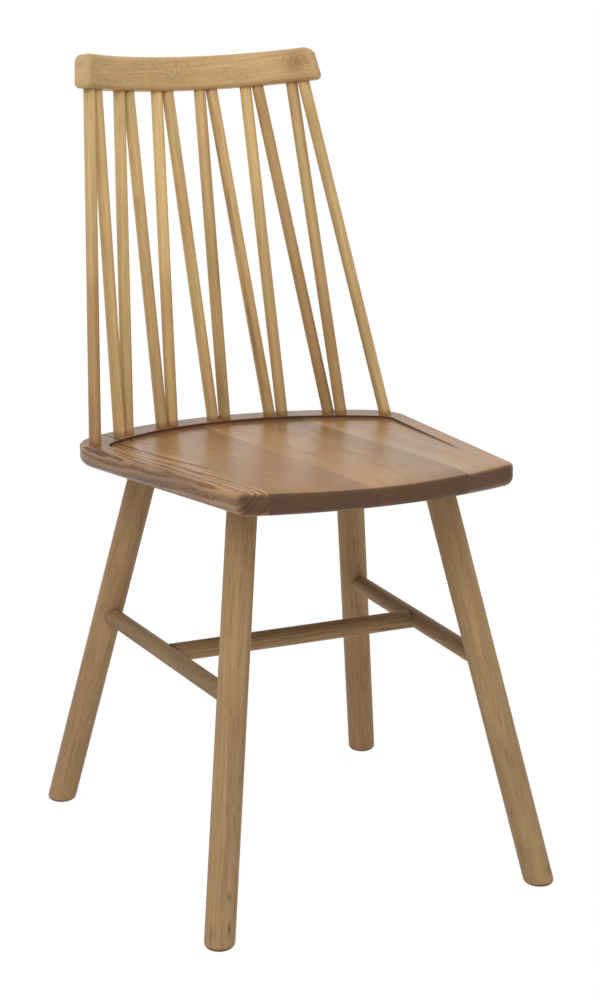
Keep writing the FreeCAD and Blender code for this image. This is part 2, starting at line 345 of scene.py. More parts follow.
@dataclass(frozen=True)
class OakFinish:
    """Oiled oak as a solid texture in the log that each piece was cut from.

    Attributes:
        name: Name of the material.
        body: Its main colour.
        late: Colour of the dense latewood where the rings stand out.
        early: Colour of the porous earlywood where the rings stand out.
        warm: Colour of its redder patches.
        olive: Colour of its greener patches.
        end: Colour across the end grain.
        sap: Colour of the pale sapwood.
        ring_pitch: Mean width of a growth ring.
        ring_wander: How far the rings wander from true circles.
        ring_wave: How often in a metre along the grain they wander.
        ring_patch: How often in a metre across the grain they wander.
        season_pace: How often from ring to ring the years grow wider or narrower.
        season_swing: By how many rings they do so.
        weak_year: Strength of the weakest year's ring.
        end_rings: How far rings that stand out show across the end grain.
        end_from: How far a face turns to the end grain before it shows.
        end_full: How far it turns before nothing else shows.
        blush: Strength of the redder and greener patches.
        cloud: Strength of the broad changes of tone.
        streak: Strength of the long soft streaks.
        sap_waver: How far the edge of the sapwood wavers.
        fibre: Strength of the fine streaks.
        lines: Strength of the dark lines that rows of pores draw.
        pores: Strength of the single pores.
        pore_depth: Brightness inside a pore against the earlywood round it.
        pore_count: How many pores go to a metre across the grain.
        pore_repeat: How many pores go to a metre along the grain.
        pore_low: Noise at which a pore begins.
        pore_high: Noise at which it is as dark as it gets.
        porous_early: How porous bold earlywood is.
        porous_late: How porous the rest is.
        flecks: Strength of the slanting ray flecks.
        fleck_lean: How far the flecks lean from the grain, either way.
        cove_darkening: How much darker a floor grows as it leads up to a cove.
        cove_darkening_from: How far out on the floor it begins, as a share of the way to the cove.
        cove_darkening_full: How far out it is at its strongest.
        stain_and_shade_dark: Share of the light that the full mark of stain and painted shade takes.
        gloss: Roughness of the oiled surface.
        stain_and_shade_dull: Roughness that the full mark of stain and painted shade adds.
        end_dull: Roughness that end grain adds.
        pore_dull: Roughness that open pores add.
        shine: Level of its reflections.
        relief: Strength of the brushed grain's relief.
        relief_depth: Height of a fibre.
        pore_sink: How many times as deep a pore lies.
        early_sink: How many times as deep bold earlywood lies.
    """

    name: str
    body: Colour
    late: Colour
    early: Colour
    warm: Colour
    olive: Colour
    end: Colour
    sap: Colour
    ring_pitch: float = 0.0036
    ring_wander: float = 0.012
    ring_wave: float = 6.0
    ring_patch: float = 24.0
    season_pace: float = 0.45
    season_swing: float = 2.2
    weak_year: float = 0.4
    end_rings: float = 0.15
    end_from: float = 0.12
    end_full: float = 0.6
    blush: float = 0.3
    cloud: float = 0.2
    streak: float = 0.25
    sap_waver: float = 0.5
    fibre: float = 0.2
    lines: float = 0.3
    pores: float = 0.25
    pore_depth: float = 0.45
    pore_count: float = 850.0
    pore_repeat: float = 140.0
    pore_low: float = 0.54
    pore_high: float = 0.66
    porous_early: float = 1.6
    porous_late: float = 0.1
    flecks: float = 0.0
    fleck_lean: float = math.radians(24.0)
    cove_darkening: float = 0.0
    cove_darkening_from: float = 0.84
    cove_darkening_full: float = 1.02
    stain_and_shade_dark: float = 0.65
    gloss: float = 0.42
    stain_and_shade_dull: float = 0.5
    end_dull: float = 0.35
    pore_dull: float = 0.3
    shine: float = 0.25
    relief: float = 0.25
    relief_depth: float = 0.0002
    pore_sink: float = 3.0
    early_sink: float = 0.6

    def material(self) -> Material:
        """Builds the finish.

        Returns:
            The new material.
        """
        made = bpy.data.materials.new(self.name)
        made.use_nodes = True
        graph = Graph(made.node_tree)
        place = graph.attribute(Mark.TIMBER).outputs["Vector"]
        early = self._rings(graph, place)
        # Oil and dirt in the seat's cove with painted shade there, and the darkening of the floor before
        # it.
        stain_and_shade = self._stain_and_shade(graph)
        fibres = graph.noise(place, FIBRES)
        pores = self._pores(graph, place, early)
        colour = self._colour(graph, place, early, stain_and_shade)
        colour = graph.shade(colour, self._level(graph, place, fibres, stain_and_shade))
        inside = tuple(self.pore_depth * channel for channel in self.early[:3]) + (1.0,)
        surface = graph.add("ShaderNodeBsdfPrincipled")
        surface.inputs["Specular IOR Level"].default_value = self.shine
        graph.feed(surface.inputs["Base Color"], graph.mix(pores, colour, inside))
        dull = graph.add_to(self.gloss, graph.value(Mark.STAIN_AND_SHADE), self.stain_and_shade_dull)
        dull = graph.add_to(dull, graph.value(Mark.ENDWISE), self.end_dull)
        graph.feed(surface.inputs["Roughness"], graph.add_to(dull, pores, self.pore_dull))
        graph.feed(surface.inputs["Normal"], self._relief(graph, fibres, pores, early))
        output = graph.add("ShaderNodeOutputMaterial")
        graph.feed(output.inputs["Surface"], surface.outputs["BSDF"])
        return made

    def _rings(self, graph: Graph, place: NodeSocket) -> NodeSocket:
        """Growth rings round the heart of the log, each year as strong as its own weather.

        Args:
            graph: The tree to add to.
            place: Where a point lies in its log.

        Returns:
            The share of earlywood at a point, from 0 to 1.
        """
        wander = Figure((self.ring_patch, self.ring_patch, self.ring_wave), 3.0)
        radius = graph.length(graph.stretch(place, (1.0, 1.0, 0.0)))
        radius = graph.add_to(radius, graph.noise(place, wander), self.ring_wander)
        count = graph.maths("DIVIDE", radius, self.ring_pitch)
        seasons = graph.add("ShaderNodeTexNoise", noise_dimensions="1D")
        graph.feed(seasons.inputs["W"], count)
        seasons.inputs["Scale"].default_value = self.season_pace
        uneven = graph.add_to(count, seasons.outputs["Fac"], self.season_swing)
        weather = graph.add("ShaderNodeTexWhiteNoise", noise_dimensions="1D")
        graph.feed(weather.inputs["W"], graph.maths("FLOOR", uneven))
        strength = graph.add_to(self.weak_year, weather.outputs["Value"], 1.0 - self.weak_year)
        return graph.times(graph.ramp(graph.maths("FRACT", uneven), RING_PROFILE), strength)

    def _pores(self, graph: Graph, place: NodeSocket, early: NodeSocket) -> NodeSocket:
        """Open pores: long rows and short dashes, thickest in the earlywood.

        Args:
            graph: The tree to add to.
            place: Where a point lies in its log.
            early: The share of earlywood.

        Returns:
            How much they darken a point.
        """
        dashes = Figure(
            (self.pore_count, self.pore_count, self.pore_repeat), 1.0, self.pore_low, self.pore_high
        )
        bold_early = graph.times(early, self.porous_early)
        porous = graph.add_to(self.porous_late, bold_early, graph.value(Mark.BOLD))
        porous = graph.times(porous, graph.maths("SUBTRACT", 1.0, graph.value(Mark.ENDWISE)))
        dark = graph.times(graph.pattern(place, PORE_ROWS), self.lines)
        return graph.times(graph.add_to(dark, graph.pattern(place, dashes), self.pores), porous)

    def _colour(self, graph: Graph, place: NodeSocket, early: NodeSocket, stain_and_shade: NodeSocket) -> NodeSocket:
        """The colour before its fine light and dark: rings, tinges, sapwood, end grain, and stain with
        painted shade.

        Args:
            graph: The tree to add to.
            place: Where a point lies in its log.
            early: The share of earlywood.
            stain_and_shade: The share of stain and painted shade.

        Returns:
            The colour.
        """
        bold = graph.value(Mark.BOLD)
        rings = graph.mix(early, self.late, self.early)
        colour = graph.mix(bold, self.body, rings)
        tinges = ((Mark.RED, self.warm, WARM_PATCHES), (Mark.OLIVE, self.olive, OLIVE_PATCHES))
        for mark, tinge, patches in tinges:
            share = graph.add_to(graph.value(mark), graph.pattern(place, patches), self.blush)
            colour = graph.mix(share, colour, tinge)
        sap = graph.add_to(graph.value(Mark.SAP), graph.noise(place, SAP_EDGE), self.sap_waver)
        colour = graph.mix(graph.between(sap, SAP_EDGE.low, SAP_EDGE.high), colour, self.sap)
        end = graph.mix(graph.times(bold, self.end_rings), self.end, rings)
        endwise = graph.between(graph.value(Mark.ENDWISE), self.end_from, self.end_full)
        return graph.mix(stain_and_shade, graph.mix(endwise, colour, end), self.early)

    def _stain_and_shade(self, graph: Graph) -> NodeSocket:
        """Oil and dirt in a cove together with painted shade there, and the darkening of the floor that
        leads up to it.

        Args:
            graph: The tree to add to.

        Returns:
            The share of stain and painted shade, from 0 to 1.
        """
        out = graph.length(graph.attribute(Mark.RIM).outputs["Vector"])
        cove_darkening = graph.times(graph.between(out, self.cove_darkening_from, self.cove_darkening_full), self.cove_darkening)
        return graph.maths("MAXIMUM", graph.value(Mark.STAIN_AND_SHADE), cove_darkening)

    def _level(self, graph: Graph, place: NodeSocket, fibres: NodeSocket, stain_and_shade: NodeSocket) -> NodeSocket:
        """The light and dark of tone and its painted shade, of stain and painted shade, and of clouds,
        streaks, fibres and flecks.

        Args:
            graph: The tree to add to.
            place: Where a point lies in its log.
            fibres: The noise of the fine fibres.
            stain_and_shade: The share of stain and painted shade.

        Returns:
            The factor for the colour.
        """
        level = graph.times(graph.value(Mark.TONE), graph.add_to(1.0, stain_and_shade, -self.stain_and_shade_dark))
        clouds, streaks = graph.noise(place, CLOUDS), graph.noise(place, STREAKS)
        for noise, strength in ((clouds, self.cloud), (streaks, self.streak), (fibres, self.fibre)):
            level = graph.times(level, graph.add_to(1.0 - strength, noise, 2 * strength))
        if self.flecks:
            level = graph.times(level, graph.add_to(1.0, self._flecks(graph, place), -self.flecks))
        return level

    def _flecks(self, graph: Graph, place: NodeSocket) -> NodeSocket:
        """Cut rays: short ticks in patches that lean one way or the other.

        Args:
            graph: The tree to add to.
            place: Where a point lies in its log.

        Returns:
            The share of ticks, from 0 to 1.
        """
        ways = []
        for lean in (-self.fleck_lean, self.fleck_lean):
            turned = graph.add("ShaderNodeVectorRotate", rotation_type="X_AXIS")
            graph.feed(turned.inputs["Vector"], place)
            turned.inputs["Angle"].default_value = lean
            ways.append(graph.pattern(turned.outputs[0], TICKS))
        ticks = graph.mix(graph.pattern(place, TICK_SIDES), *ways)
        lengthwise = graph.maths("SUBTRACT", 1.0, graph.value(Mark.ENDWISE))
        return graph.times(ticks, graph.times(graph.pattern(place, TICK_PATCHES), lengthwise))

    def _relief(self, graph: Graph, fibres: NodeSocket, pores: NodeSocket, early: NodeSocket) -> NodeSocket:
        """The brushed surface: pores and earlywood lie a little lower.

        Args:
            graph: The tree to add to.
            fibres: The noise of the fine fibres.
            pores: The share of open pores.
            early: The share of earlywood.

        Returns:
            The surface's normal.
        """
        height = graph.add_to(fibres, pores, -self.pore_sink)
        bold_early = graph.times(early, graph.value(Mark.BOLD))
        bump = graph.add("ShaderNodeBump")
        bump.inputs["Strength"].default_value = self.relief
        bump.inputs["Distance"].default_value = self.relief_depth
        graph.feed(bump.inputs["Height"], graph.add_to(height, bold_early, -self.early_sink))
        return bump.outputs["Normal"]


@dataclass(frozen=True)
class Patch:
    """A soft-edged spot of another tone on a piece, used both for marks of the wood and for painted shade.

    Attributes:
        centre: Its middle, where the piece is marked.
        across: How far it reaches across the grain.
        along: How far it reaches along the grain.
        tone: Brightness at its middle against the piece's own.
        red: What it adds to the share of the warmer colour.
    """

    centre: tuple[float, float, float]
    across: float
    along: float
    tone: float = 1.0
    red: float = 0.0

    def weight(self, off: Vector) -> float:
        """How much of the spot shows at a point.

        Args:
            off: Where the point lies from the middle, across, through and along the piece.

        Returns:
            1 at the middle, less further out.
        """
        return math.exp(-(off.xy.length_squared / self.across**2 + off.z**2 / self.along**2))


@dataclass(frozen=True)
class Timber:
    """How one piece lies in the log that it was cut from, how its wood differs from others, and where
    painted shade lies on it.

    Attributes:
        heart: Where the heart of the tree lies from the middle of the piece, across and through it.
        start: How far along the log the piece begins, so that no two share a pattern.
        slope: How much the heart drifts across and through for each metre along.
        tone: Brightness against the finish's own.
        red: Share of the finish's warmer colour.
        olive: Share of the finish's greener colour.
        bold: How far its rings stand out.
        sap: Width of the pale sapwood along its left edge.
        sap_fade: How fast the sapwood runs out along the piece.
        ends: How far its end grain differs from its sides.
        lean: How much the brightness rises for each metre across the piece, off the end grain.
        patches: Spots of another tone: marks of the wood, and on some pieces painted shade.
    """

    heart: tuple[float, float]
    start: float = 0.0
    slope: tuple[float, float] = (0.0, 0.0)
    tone: float = 1.0
    red: float = 0.0
    olive: float = 0.0
    bold: float = 0.25
    sap: float = 0.0
    sap_fade: float = 0.0
    ends: float = 1.0
    lean: float = 0.0
    patches: tuple[Patch, ...] = ()

    def mark(self, shape: BMesh, to_log: Matrix) -> None:
        """Writes on each vertex where it lies in the log and what colour its wood is, with any painted
        shade.

        Args:
            shape: The finished mesh.
            to_log: Turns the mesh's places into across, through and along the piece.
        """
        layers = shape.verts.layers
        place = layers.float_vector.new(Mark.TIMBER.value)
        endwise = layers.float[Mark.ENDWISE.value]
        tone, red = (layers.float.new(mark.value) for mark in (Mark.TONE, Mark.RED))
        olive, bold, sap = (layers.float.new(mark.value) for mark in (Mark.OLIVE, Mark.BOLD, Mark.SAP))
        turn = to_log.to_3x3()
        edge = min((to_log @ vert.co).x for vert in shape.verts)
        for vert in shape.verts:
            across, through, along = to_log @ vert.co
            vert[place] = (
                across - self.heart[0] - self.slope[0] * along,
                through - self.heart[1] - self.slope[1] * along,
                along + self.start,
            )
            vert[endwise] *= self.ends
            vert[tone] = self.tone + self.lean * across * (1.0 - vert[endwise])
            vert[red] = self.red
            vert[olive] = self.olive
            vert[bold] = self.bold
            vert[sap] = 1.0 - (across - edge) / self.sap - self.sap_fade * along if self.sap else 0.0
            for patch in self.patches:
                weight = patch.weight(turn @ (vert.co - Vector(patch.centre)))
                vert[tone] *= 1.0 + (patch.tone - 1.0) * weight
                vert[red] += patch.red * weight


def mark_ends(shape: BMesh, along: Vector) -> None:
    """Writes on each vertex how much it faces along the grain.

    Args:
        shape: The mesh, with its ends as they will show.
        along: The direction of the grain.
    """
    endwise = shape.verts.layers.float.new(Mark.ENDWISE.value)
    shape.normal_update()
    for vert in shape.verts:
        vert[endwise] = abs(vert.normal.dot(along))


def trim(shape: BMesh, point: Vector, outwards: Vector) -> list[BMEdge]:
    """Cuts off what lies outside a plane and closes the cut.

    Args:
        shape: The mesh to cut.
        point: A point of the plane.
        outwards: The plane's normal, towards what is cut off.

    Returns:
        The edges round the cut.
    """
    whole = shape.verts[:] + shape.edges[:] + shape.faces[:]
    cut = bmesh.ops.bisect_plane(
        shape, geom=whole, dist=MERGE, plane_co=point, plane_no=outwards, clear_outer=True
    )
    edges = [item for item in cut["geom_cut"] if isinstance(item, BMEdge)]
    bmesh.ops.edgeloop_fill(shape, edges=edges)
    return edges


def slice_across(shape: BMesh, direction: Vector, places: list[float], faces: list[BMFace]) -> None:
    """Adds rows of edges where planes cross some faces of a mesh.

    Args:
        shape: The mesh.
        direction: The planes' normal.
        places: How far along the direction each plane lies.
        faces: The faces to cut.
    """
    for place in places:
        verts = {vert for face in faces for vert in face.verts}
        edges = {edge for face in faces for edge in face.edges}
        cut = bmesh.ops.bisect_plane(
            shape, geom=[*verts, *edges, *faces], dist=MERGE,
            plane_co=direction * place, plane_no=direction,
        )
        faces = [item for item in cut["geom"] if isinstance(item, BMFace)]


def edges_along(shape: BMesh, direction: Vector) -> list[BMEdge]:
    """The edges of a mesh that run along a direction."""
    runs = {edge: (edge.verts[1].co - edge.verts[0].co).normalized() for edge in shape.edges}
    return [edge for edge, run in runs.items() if abs(run.dot(direction)) > ALIGNED]


def round_edges(
    shape: BMesh,
    edges: list[BMEdge],
    size: float,
    segments: int,
    measure: str = "OFFSET",
) -> None:
    """Rounds some edges of a mesh.

    Args:
        shape: The mesh.
        edges: The edges to round.
        size: How far from the edge the round begins, or how wide it is.
        segments: How many faces go over the round.
        measure: Which of the two the size is, OFFSET or WIDTH.
    """
    bmesh.ops.bevel(
        shape, geom=edges, offset=size, offset_type=measure, segments=segments,
        profile=0.5, affect="EDGES", clamp_overlap=True, material=-1,
    )


def spread(low: float, high: float, count: int) -> list[float]:
    """Places that divide a stretch into equal parts, without its ends."""
    return [low + (high - low) * i / count for i in range(1, count)]


@dataclass
class Piece:
    """One wooden piece that stands for a node of the frame.

    Attributes:
        node: The node that it stands for.
        slot: The record's slot that it takes its finish from.
        shape: Its mesh in the frame.
        smooth_angle: The largest angle between faces over which it is shaded smooth.
    """

    node: str
    slot: Slot
    shape: BMesh
    smooth_angle: float = math.radians(35.0)

    def place(self, material: Material) -> Object:
        """Puts the piece into the scene, in place of its node.

        Args:
            material: The finish.

        Returns:
            The new object.
        """
        mesh = bpy.data.meshes.new(f"oak_{self.node}")
        self.shape.to_mesh(mesh)
        self.shape.free()
        mesh.polygons.foreach_set("use_smooth", [True] * len(mesh.polygons))
        mesh.set_sharp_from_angle(angle=self.smooth_angle)
        mesh.materials.append(material)
        made = bpy.data.objects.new(mesh.name, mesh)
        bpy.context.scene.collection.objects.link(made)
        normals = made.modifiers.new("even_normals", "WEIGHTED_NORMAL")
        normals.keep_sharp = True
        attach(made, "root")
        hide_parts(self.node)
        self.report(mesh)
        return made

    def report(self, mesh: Mesh) -> None:
        """Logs how many faces the piece has and how far its box departs from its node's.

        Args:
            mesh: The piece's mesh.
        """
        off = 0.0
        for axis, (low, high) in enumerate(zip(*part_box(self.node))):
            places = [vert.co[axis] for vert in mesh.vertices]
            off = max(off, abs(min(places) - low), abs(max(places) - high))
        LOG.info("%s: %d faces, box within %.2f mm of its node", mesh.name, len(mesh.polygons), off * 1000)


@dataclass
class Rod:
    """A turned rod between two points.

    Attributes:
        start: Middle of its first end.
        end: Middle of its last end.
        diameter: Its diameter.
        sides: How many faces go round it.
        ring: About how far apart its rings of edges lie.
    """

    start: Vector
    end: Vector
    diameter: float
    sides: int = 48
    ring: float = 0.008

    def to_rod(self) -> Matrix:
        """Turns places in the frame into across, through and along the rod."""
        turn = (self.end - self.start).to_track_quat("Z", "Y").to_matrix().to_4x4()
        return (Matrix.Translation((self.start + self.end) / 2) @ turn).inverted()

    def blank(self) -> BMesh:
        """Turns the plain rod.

        Returns:
            The mesh, in the frame.
        """
        shape = bmesh.new()
        bmesh.ops.create_cone(
            shape, cap_ends=True, cap_tris=False, segments=self.sides, radius1=self.diameter / 2,
            radius2=self.diameter / 2, depth=(self.end - self.start).length,
        )
        bmesh.ops.transform(shape, matrix=self.to_rod().inverted(), verts=shape.verts)
        return shape

    def finished(self, shape: BMesh, timber: Timber) -> BMesh:
        """Divides the trimmed rod into rings and marks it with the timber that it is made of.

        Args:
            shape: The rod's mesh.
            timber: Its timber.

        Returns:
            The same mesh.
        """
        lengthwise = [e for e in shape.edges if e.calc_length() > self.diameter]
        cuts = round((self.end - self.start).length / self.ring)
        bmesh.ops.subdivide_edges(shape, edges=lengthwise, cuts=cuts, use_grid_fill=True)
        mark_ends(shape, (self.end - self.start).normalized())
        timber.mark(shape, self.to_rod())
        return shape


class Pen:
    """Draws the right half of a flat outline from the back to the front, then mirrors it.

    Attributes:
        sag: How far the straight steps of an arc may lie inside it.
    """

    sag: float = 0.00002

    def __init__(self, start: Vector) -> None:
        """Starts at a point on the middle line."""
        self.shape = bmesh.new()
        self.tip = self.shape.verts.new(start)

    def arc(self, centre: Vector, to: Vector) -> None:
        """Draws an arc about a centre to a point.

        Args:
            centre: The arc's centre.
            to: Where it ends.
        """
        first, last = self.tip.co - centre, to - centre
        turn = math.atan2(first.cross(last).z, first.dot(last))
        step = 2 * math.acos(1 - self.sag / first.length)
        drawn = bmesh.ops.spin(
            self.shape, geom=[self.tip], cent=centre, axis=UP, angle=turn,
            steps=max(2, math.ceil(abs(turn) / step)), use_duplicate=False,
        )
        self.tip = next(v for v in drawn["geom_last"] if isinstance(v, BMVert))

    def line(self, to: Vector, steps: int) -> None:
        """Draws a straight run to a point in equal steps.

        Args:
            to: Where it ends.
            steps: How many steps.
        """
        stride = (to - self.tip.co) / steps
        for _ in range(steps):
            drawn = bmesh.ops.extrude_vert_indiv(self.shape, verts=[self.tip])
            self.tip = drawn["verts"][0]
            self.tip.co += stride

    def closed(self) -> BMesh:
        """Mirrors the half, joins the halves and fills the outline with one face.

        Returns:
            The flat shape, facing up.
        """
        half = self.shape.verts[:] + self.shape.edges[:]
        bmesh.ops.mirror(self.shape, geom=half, axis="X", merge_dist=MERGE)
        bmesh.ops.remove_doubles(self.shape, verts=self.shape.verts, dist=MERGE)
        bmesh.ops.edgeloop_fill(self.shape, edges=self.shape.edges)
        for face in self.shape.faces:
            if face.normal.z < 0:
                face.normal_flip()
        return self.shape


@dataclass
class Seat:
    """The dished seat board, glued up from four staves, in its own plane above its underside.

    Attributes:
        origin_y: Where the origin of that plane lies in the frame.
        height: Height of the top's front edge above the floor, before it rolls down.
        pitch: How far the board is tipped up at the front.
        thickness: Thickness of the board.
        back_width: Width between its sharp corners at the back.
        front_width: Width between its sharp corners at the front.
        back_y: Where the middle of its back edge lies.
        front_y: Where the middle of its front edge lies.
        back_radius: Radius of its bowed back.
        front_radius: Radius of its bowed front.
        back_corner: Radius of its back corners.
        front_corner: Radius of its front corners.
        top_rounding: Radius of the edge round its top.
        bottom_rounding: Radius of the edge round its underside.
        roll_length: How far from the front edge the top begins to roll down.
        roll_radius: Radius of that roll.
        joints_x: Where the glue joints between the staves lie.
        dish_depth: Depth of the dish's floor at its back.
        dish_front_y: Where the floor comes up to the top.
        dish_back_margin: How far inside the spindles' arc the dish's back lies.
        dish_side_margin: How far inside the board's sides its sides lie.
        dish_corner: Radius of its back corners.
        dish_cove: Radius of the cove under its rim.
        front_feet_y: Where the front feet stand.
        spindle_arc: Radius of the arc on which the spindles stand.
        spindle_back_margin: How far inside the back edge that arc lies.
        side_steps: How many edges a straight side has.
        top_segments: How many faces go over the top's edge.
        bottom_segments: How many faces go over the underside's edge.
        roll_rows: How many rows of faces roll down.
        outer_stave_width: Width of an outer stave, for its place in the log.
        cove_loops: How far inside the rim each loop of edges in the cove lies.
        stain_and_shade: How dark the cove is painted, for the oil and dirt in it and for its shade.
        stain_and_shade_rise: How fast that darkening grows from the dish's front.
        staves: The timber of each stave, left to right.
    """

    origin_y: float
    height: float = 0.4653
    pitch: float = math.radians(2.95)
    thickness: float = 0.0244
    back_width: float = 0.401
    front_width: float = 0.3085
    back_y: float = 0.229
    front_y: float = -0.2334
    back_radius: float = 0.298
    front_radius: float = 0.425
    back_corner: float = 0.062
    front_corner: float = 0.014
    top_rounding: float = 0.0041
    bottom_rounding: float = 0.011
    roll_length: float = 0.042
    roll_radius: float = 0.25
    joints_x: tuple[float, ...] = (-0.1265, -0.026, 0.090)
    dish_depth: float = 0.0046
    dish_front_y: float = -0.110
    dish_back_margin: float = 0.018
    dish_side_margin: float = 0.0215
    dish_corner: float = 0.030
    dish_cove: float = 0.004
    front_feet_y: float = -0.2195
    spindle_arc: float = 0.255
    spindle_back_margin: float = 0.0207
    side_steps: int = 24
    top_segments: int = 6
    bottom_segments: int = 7
    roll_rows: int = 10
    outer_stave_width: float = 0.05
    cove_loops: tuple[float, ...] = (0.00005, 0.00015, 0.0003, 0.0006, 0.001, 0.0016, 0.0023, 0.0031, 0.004)
    stain_and_shade: float = 1.0
    stain_and_shade_rise: float = 12.0
    staves: dict[str, Timber] = field(
        default_factory=lambda: {
            "left_outer": Timber(
                (0.075, -0.085), 0.3, (0.107, 0.0), 0.67, bold=1.0, ends=0.65,
                patches=(
                    Patch((-0.152, -0.2030, 0.012), 0.016, 0.020, 0.6),
                    Patch((-0.193, 0.130, 0.008), 0.020, 0.09, 0.55),
                    Patch((-0.178, 0.000, 0.008), 0.020, 0.09, 0.55),
                    Patch((-0.163, -0.130, 0.008), 0.020, 0.09, 0.6),
                ),
            ),
            "left_inner": Timber((0.070, -0.055), 1.9, (0.02, 0.01), 0.92, 0.1, bold=0.1),
            "right_inner": Timber(
                (0.020, -0.090), 3.1, (0.01, 0.02), 0.96, 0.05, 0.1, bold=0.1,
                sap=0.006, sap_fade=4.0, lean=-4.0,
            ),
            "right_outer": Timber(
                (-0.060, -0.060), 4.4, (0.0, 0.02), 0.97, olive=0.1, bold=0.1, sap=0.04, ends=0.62,
                patches=(Patch((0.138, -0.2080, 0.016), 0.006, 0.02, 0.55),),
            ),
        }
    )

    @classmethod
    def above(cls, feet: dict[str, Vector]) -> "Seat":
        """The seat in its place above the frame's feet."""
        return cls(origin_y=feet["front_left"].y - cls.front_feet_y)

    def to_frame(self) -> Matrix:
        """Places in the seat's plane turned into the frame: the board is tipped up at the front.

        Returns:
            The matrix that turns them.
        """
        rise = self.front_y * math.sin(self.pitch) - self.thickness * math.cos(self.pitch)
        tip = Matrix.Rotation(-self.pitch, 4, "X")
        return Matrix.Translation((0, self.origin_y, self.height + rise)) @ tip

    def fall(self, radius: float, half_width: float) -> float:
        """How far an arc has fallen from its apex at a half width."""
        return radius - math.sqrt(radius**2 - half_width**2)

    def corners(self) -> tuple[Vector, Vector]:
        """The sharp right corners of the outline, at the back and at the front."""
        back, front = self.back_width / 2, self.front_width / 2
        return (
            Vector((back, self.back_y - self.fall(self.back_radius, back), 0)),
            Vector((front, self.front_y + self.fall(self.front_radius, front), 0)),
        )

    def on_side(self, y: float, margin: float) -> Vector:
        """The point at y of a line along the right side, a margin inside it.

        Args:
            y: How far back the point lies.
            margin: How far inside the side the line runs.

        Returns:
            The point.
        """
        back, front = self.corners()
        slope = (back.x - front.x) / (back.y - front.y)
        return Vector((back.x + slope * (y - back.y) - margin * math.hypot(1, slope), y, 0))

    def side_meets(self, radius: float, centre_y: float, margin: float, behind: bool = True) -> Vector:
        """Where a line a margin inside the right side meets an arc centred on the middle line.

        Args:
            radius: The arc's radius.
            centre_y: Where its centre lies.
            margin: How far inside the side the line runs.
            behind: Whether to take the meeting behind the centre or the one in front.

        Returns:
            The meeting point.
        """
        start = self.on_side(centre_y, margin)
        along = (self.on_side(centre_y + radius, margin) - start).normalized()
        forward = start.x * along.x
        reach = math.sqrt(forward**2 + radius**2 - start.x**2)
        return start + along * (reach - forward if behind else -reach - forward)

    def rounded(self, pen: Pen, arc_centre_y: float, radius: float, corner: float, margin: float) -> None:
        """Draws an arc from the pen's tip, then the rounded corner that ends on the right side.

        Args:
            pen: The pen, on the middle line.
            arc_centre_y: Where the arc's centre lies.
            radius: The arc's radius.
            corner: The corner's radius.
            margin: How far inside the side the outline runs.
        """
        centre = Vector((0, arc_centre_y, 0))
        middle = self.side_meets(radius - corner, arc_centre_y, margin + corner)
        pen.arc(centre, centre + (middle - centre) * (radius / (radius - corner)))
        pen.arc(middle, self.foot_on_side(middle, margin))

    def foot_on_side(self, point: Vector, margin: float) -> Vector:
        """The point nearest to another on a line a margin inside the right side.

        Args:
            point: The other point.
            margin: How far inside the side the line runs.

        Returns:
            The nearest point.
        """
        start = self.on_side(self.front_y, margin)
        along = (self.on_side(self.back_y, margin) - start).normalized()
        return start + along * (point - start).dot(along)

    def outline(self) -> BMesh:
        """The board's outline: bowed ends, straight sides and rounded corners.

        Returns:
            The outline as one face.
        """
        pen = Pen(Vector((0, self.back_y, 0)))
        self.rounded(pen, self.back_y - self.back_radius, self.back_radius, self.back_corner, 0.0)
        centre_y = self.front_y + self.front_radius
        radius = self.front_radius - self.front_corner
        middle = self.side_meets(radius, centre_y, self.front_corner, behind=False)
        pen.line(self.foot_on_side(middle, 0.0), self.side_steps)
        centre = Vector((0, centre_y, 0))
        pen.arc(middle, centre + (middle - centre) * (self.front_radius / radius))
        pen.arc(centre, Vector((0, self.front_y, 0)))
        return pen.closed()

    def dish_outline(self) -> BMesh:
        """The dish's outline: it follows the spindles and the sides and ends where its floor comes up.

        Returns:
            The outline as one face.
        """
        centre_y = self.spindle_centre_y()
        radius = self.dish_radius()
        pen = Pen(Vector((0, centre_y + radius, 0)))
        self.rounded(pen, centre_y, radius, self.dish_corner, self.dish_side_margin)
        pen.line(self.on_side(self.dish_front_y, self.dish_side_margin), self.side_steps)
        pen.line(Vector((0, self.dish_front_y, 0)), self.side_steps)
        return pen.closed()

    def spindle_centre_y(self) -> float:
        """Where the arc on which the spindles stand has its centre."""
        return self.back_y - self.spindle_back_margin - self.spindle_arc

    def dish_radius(self) -> float:
        """The radius of the dish's back, about the same centre."""
        return self.spindle_arc - self.dish_back_margin

    def way_out(self, place: Vector) -> Vector:
        """How far out on the dish a place lies, from that centre: its length is 1 at the dish's back."""
        return ((place - BACK * self.spindle_centre_y()) / self.dish_radius()).to_2d().to_3d()

    def board(self) -> BMesh:
        """Shapes the whole board: outline, rounded edges, dish and front roll.

        Returns:
            The board.
        """
        shape = self.outline()
        grown = bmesh.ops.extrude_face_region(shape, geom=shape.faces[:])["geom"]
        top_verts = [v for v in grown if isinstance(v, BMVert)]
        bmesh.ops.translate(shape, verts=top_verts, vec=UP * self.thickness)
        bmesh.ops.recalc_face_normals(shape, faces=shape.faces)
        round_edges(shape, self.edges_at(shape, 0.0), self.bottom_rounding, self.bottom_segments)
        top_edges = self.edges_at(shape, self.thickness)
        round_edges(shape, top_edges, self.top_rounding, self.top_segments)
        mark_ends(shape, BACK)
        self.dish(shape)
        self.roll(shape)
        bmesh.ops.recalc_face_normals(shape, faces=shape.faces)
        return shape

    def edges_at(self, shape: BMesh, height: float) -> list[BMEdge]:
        """The edges of a mesh that lie at a height."""
        return [e for e in shape.edges if all(abs(v.co.z - height) < MERGE for v in e.verts)]

